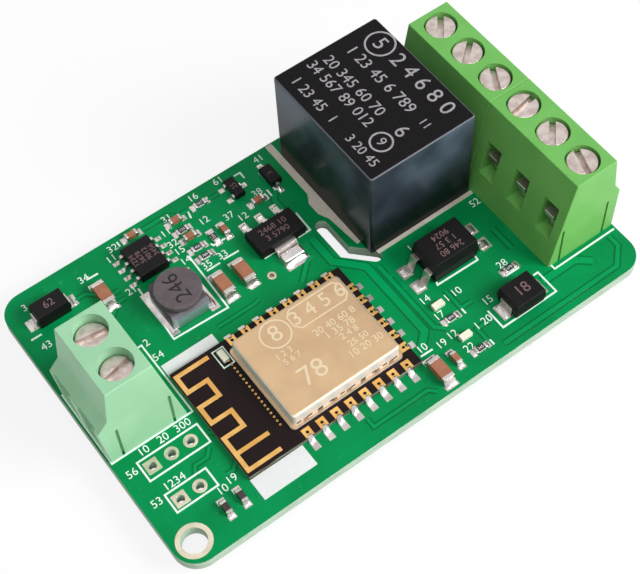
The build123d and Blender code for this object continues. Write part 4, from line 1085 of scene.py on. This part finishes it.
outline = [(lid_low.x + x, lid_high.y - drop) for x, drop in badge_outline]
lid_badge_line = 0.18
band(lid_marks, outline, lid_badge_line, lid_high.z, lid_print_top, closed=True)
lid_marks.finish("lid_print", lid_ink)


row_pitch_of_height = 1.35


def body_marks(drawing, solid, texts, height, turn):
    """Rows of figures on top of a moulded body."""
    low, high = solid
    centre = (low + high) / 2
    pitch = height * row_pitch_of_height
    direction = Vector((math.sin(math.radians(turn)), -math.cos(math.radians(turn))))
    for row, text in enumerate(texts):
        spot = Vector((centre.x, centre.y)) + direction * pitch * (row - (len(texts) - 1) / 2)
        figures(drawing, text, spot.x, spot.y, high.z, height, turn, fine_ink)


chip_marks = Drawing()
for node, texts, height, turn in (
    ("converter_body", ("1234", "5678", "9012", "3456"), 0.68, 90),
    ("regulator_body", ("2468 10", "3 5790"), 0.85, 0),
    ("optocoupler_body", ("246 80", "1 3 57", "9024"), 0.85, 180),
    ("transistor_body", ("25",), 0.7, 90),
):
    body_marks(chip_marks, box_mm(node), texts, height, turn)
for solid, text in zip(islands("diode_bodies"), ("62", "3", "18")):
    size = min(solid[1].x - solid[0].x, solid[1].y - solid[0].y)
    body_marks(chip_marks, solid, (text,), size * 0.4, 90 if size < 2 else 0)
chip_marks.finish("chip_print", chip_ink)

low, high = box_mm("inductor_core")
centre = (low + high) / 2
inductor_mark = Drawing()
figures(inductor_mark, "246", centre.x, centre.y, high.z, 2.0, 90)
inductor_mark.finish("inductor_print", dark_ink)

resistor_marks = Drawing()
resistor_ink = 0.006
resistor_values = ("123", "456", "789", "234", "567", "890", "345", "678")
for (low, high), text in zip(islands("resistors"), resistor_values):
    centre = (low + high) / 2
    turn = 90 if high.y - low.y > high.x - low.x else 0
    figures(resistor_marks, text, centre.x, centre.y, high.z, 0.36, turn, resistor_ink)
resistor_marks.finish("resistor_print", area_ink)

# %% [markdown]
# The radio module has its own small print round its lamp, dark plates of painted shade in the
# notches along the front of the shield's lid, and a row of gold holes beside it. They are small,
# but the eye finds them at once.

# %% Small details of the radio module
module_top = module_high.z
module_plating_top = module_top + 0.012
module_print = Drawing()
lamp_frame = (0.72, 1.25)
lamp_frame_line = 0.16
lamp_low, lamp_high = max(islands("indicator_leds"), key=lambda box: box[0].z)
lamp = (lamp_low + lamp_high) / 2
outline = rectangle(
    lamp.x - lamp_frame[0], lamp.y - lamp_frame[1], lamp.x + lamp_frame[0], lamp.y + lamp_frame[1]
)
band(module_print, outline, lamp_frame_line, module_top, module_plating_top, closed=True)
module_print.finish("module_print", board_ink)
# Dark plates in front of the lid's notches: painted shade where the notches open
notches = Drawing()
notch_count = 10
notch_width = 0.62
notch_height = 0.3
notch_level = module_top + 0.45
notch_front = lid_low.y - 0.012
notch_back = lid_low.y + 0.05
for index in range(notch_count):
    x = lid_low.x + (lid_high.x - lid_low.x) * (index + 0.5) / notch_count
    outline = rectangle(x - notch_width / 2, notch_front, x + notch_width / 2, notch_back)
    notches.plate(outline, notch_level, notch_level + notch_height)
notches.finish("lid_notch_shade", painted_notch_shade)
via_row = Drawing()
via_count = 18
via_pitch = 0.6
via_line = lid_low.x - 0.95
first_via = module_low.y + 3.2
for index in range(via_count):
    y = first_via + via_pitch * index
    via_row.ring(via_line, y, 0.06, 0.14, module_top, module_plating_top, 16)
via_row.finish("module_vias", gold, "gold_plating")

# %% [markdown]
# The table is plain and pale, the light soft. A large soft light over the camera's right does
# most of the work, a weaker one hangs above, and the pale room fills the shade. The table shows
# as white to the camera and in reflections, but keeps the board's soft shadow, as a white sheet
# under a product does.

# %% Table, room and light
floor_size = 3.0
floor_level = frame_box[0][2]
floor_mesh = bpy.data.meshes.new("floor")
floor_corners = [(x * floor_size, y * floor_size, floor_level) for x, y in rectangle(-1, -1, 1, 1)]
floor_mesh.from_pydata(floor_corners, [], [(0, 1, 2, 3)])
floor = bpy.data.objects.new("floor", floor_mesh)
bpy.context.scene.collection.objects.link(floor)


def seen_directly(tree):
    """1 for what the camera, a reflection or clear glass shows, and 0 for light on the object."""
    path = tree.node("ShaderNodeLightPath")
    seen = path["Is Camera Ray"] + path["Is Glossy Ray"] + path["Is Transmission Ray"]
    return tree.node("ShaderNodeMath", {"operation": "MINIMUM"}, {0: seen, 1: 1.0})["Value"]


whiteness = 0.84


def table_finish():
    """Pale paint under a white glow, of which the paint's shadows keep a little."""
    finish = Finish("pale_table")
    finish.surface(Base_Color=paint(240, 240, 240), Roughness=0.8, Specular_IOR_Level=0.0)
    white = {"Color": (1, 1, 1, 1), "Strength": 1.0}
    glow = finish.node("ShaderNodeEmission", None, white)["Emission"]
    shadow_keeping = seen_directly(finish) * whiteness
    paint_layer = Value(finish, finish.shader.outputs["BSDF"])
    layers = {0: shadow_keeping, 1: paint_layer, 2: glow}
    blend = finish.node("ShaderNodeMixShader", None, layers)["Shader"]
    finish.feed(finish.tree.nodes["Material Output"].inputs["Surface"], blend)
    return finish


floor_mesh.materials.append(table_finish().material)

room = bpy.data.worlds.new("room")
room.use_nodes = True
bpy.context.scene.world = room
sky = Tree(room.node_tree)
background = sky.tree.nodes["Background"]
shade_level = 0.22
sky.feed(background.inputs["Strength"], seen_directly(sky) * (1 - shade_level) + shade_level)
sky.feed(background.inputs["Color"], (1, 1, 1, 1))


def soft_light(name, spot, target, size, watts):
    """A large square lamp that looks at the target."""
    lamp = bpy.data.lights.new(name, "AREA")
    lamp.size = size
    lamp.energy = watts
    holder = bpy.data.objects.new(name, lamp)
    holder.location = spot
    holder.rotation_euler = (target - Vector(spot)).to_track_quat("-Z", "Y").to_euler()
    bpy.context.scene.collection.objects.link(holder)


target_height = 0.005
board_middle = (board_low + board_high) / 2 * MM
target = Vector((board_middle.x, board_middle.y, target_height))
soft_light("key_light", (0.4, -0.42, 0.42), target, size=0.35, watts=5.4)
soft_light("fill_light", (-0.15, -0.3, 0.75), target, size=0.5, watts=2.7)

# %% [markdown]
# The camera stands where the photograph was taken from. Its place, turn and focal length were
# solved from known sizes, such as the pitch of the header, so what is drawn here falls on the
# same place of the picture. The three directions are the camera's right, its down and the way
# it looks, and Blender's camera looks along its own -Z.

# %% Camera
sensor_width = 36.0
image_width = 640
focal_pixels = 1469.1
camera_place = (-0.0206, -0.05924, 0.14947)
camera_data = bpy.data.cameras.new("camera")
camera_data.sensor_width = sensor_width
camera_data.lens = focal_pixels * sensor_width / image_width
camera_data.clip_start = 0.01
camera = bpy.data.objects.new("camera", camera_data)
right_way = Vector((0.80519658, -0.59205123, -0.0336721))
down_way = Vector((-0.51779761, -0.67426405, -0.52654879))
view_way = Vector((0.28903997, 0.44141062, -0.84947782))
turn = Matrix((right_way, -down_way, -view_way)).transposed().to_4x4()
camera.matrix_world = Matrix.Translation(camera_place) @ turn
bpy.context.scene.collection.objects.link(camera)
bpy.context.scene.camera = camera
bpy.context.scene.view_settings.view_transform = "Standard"
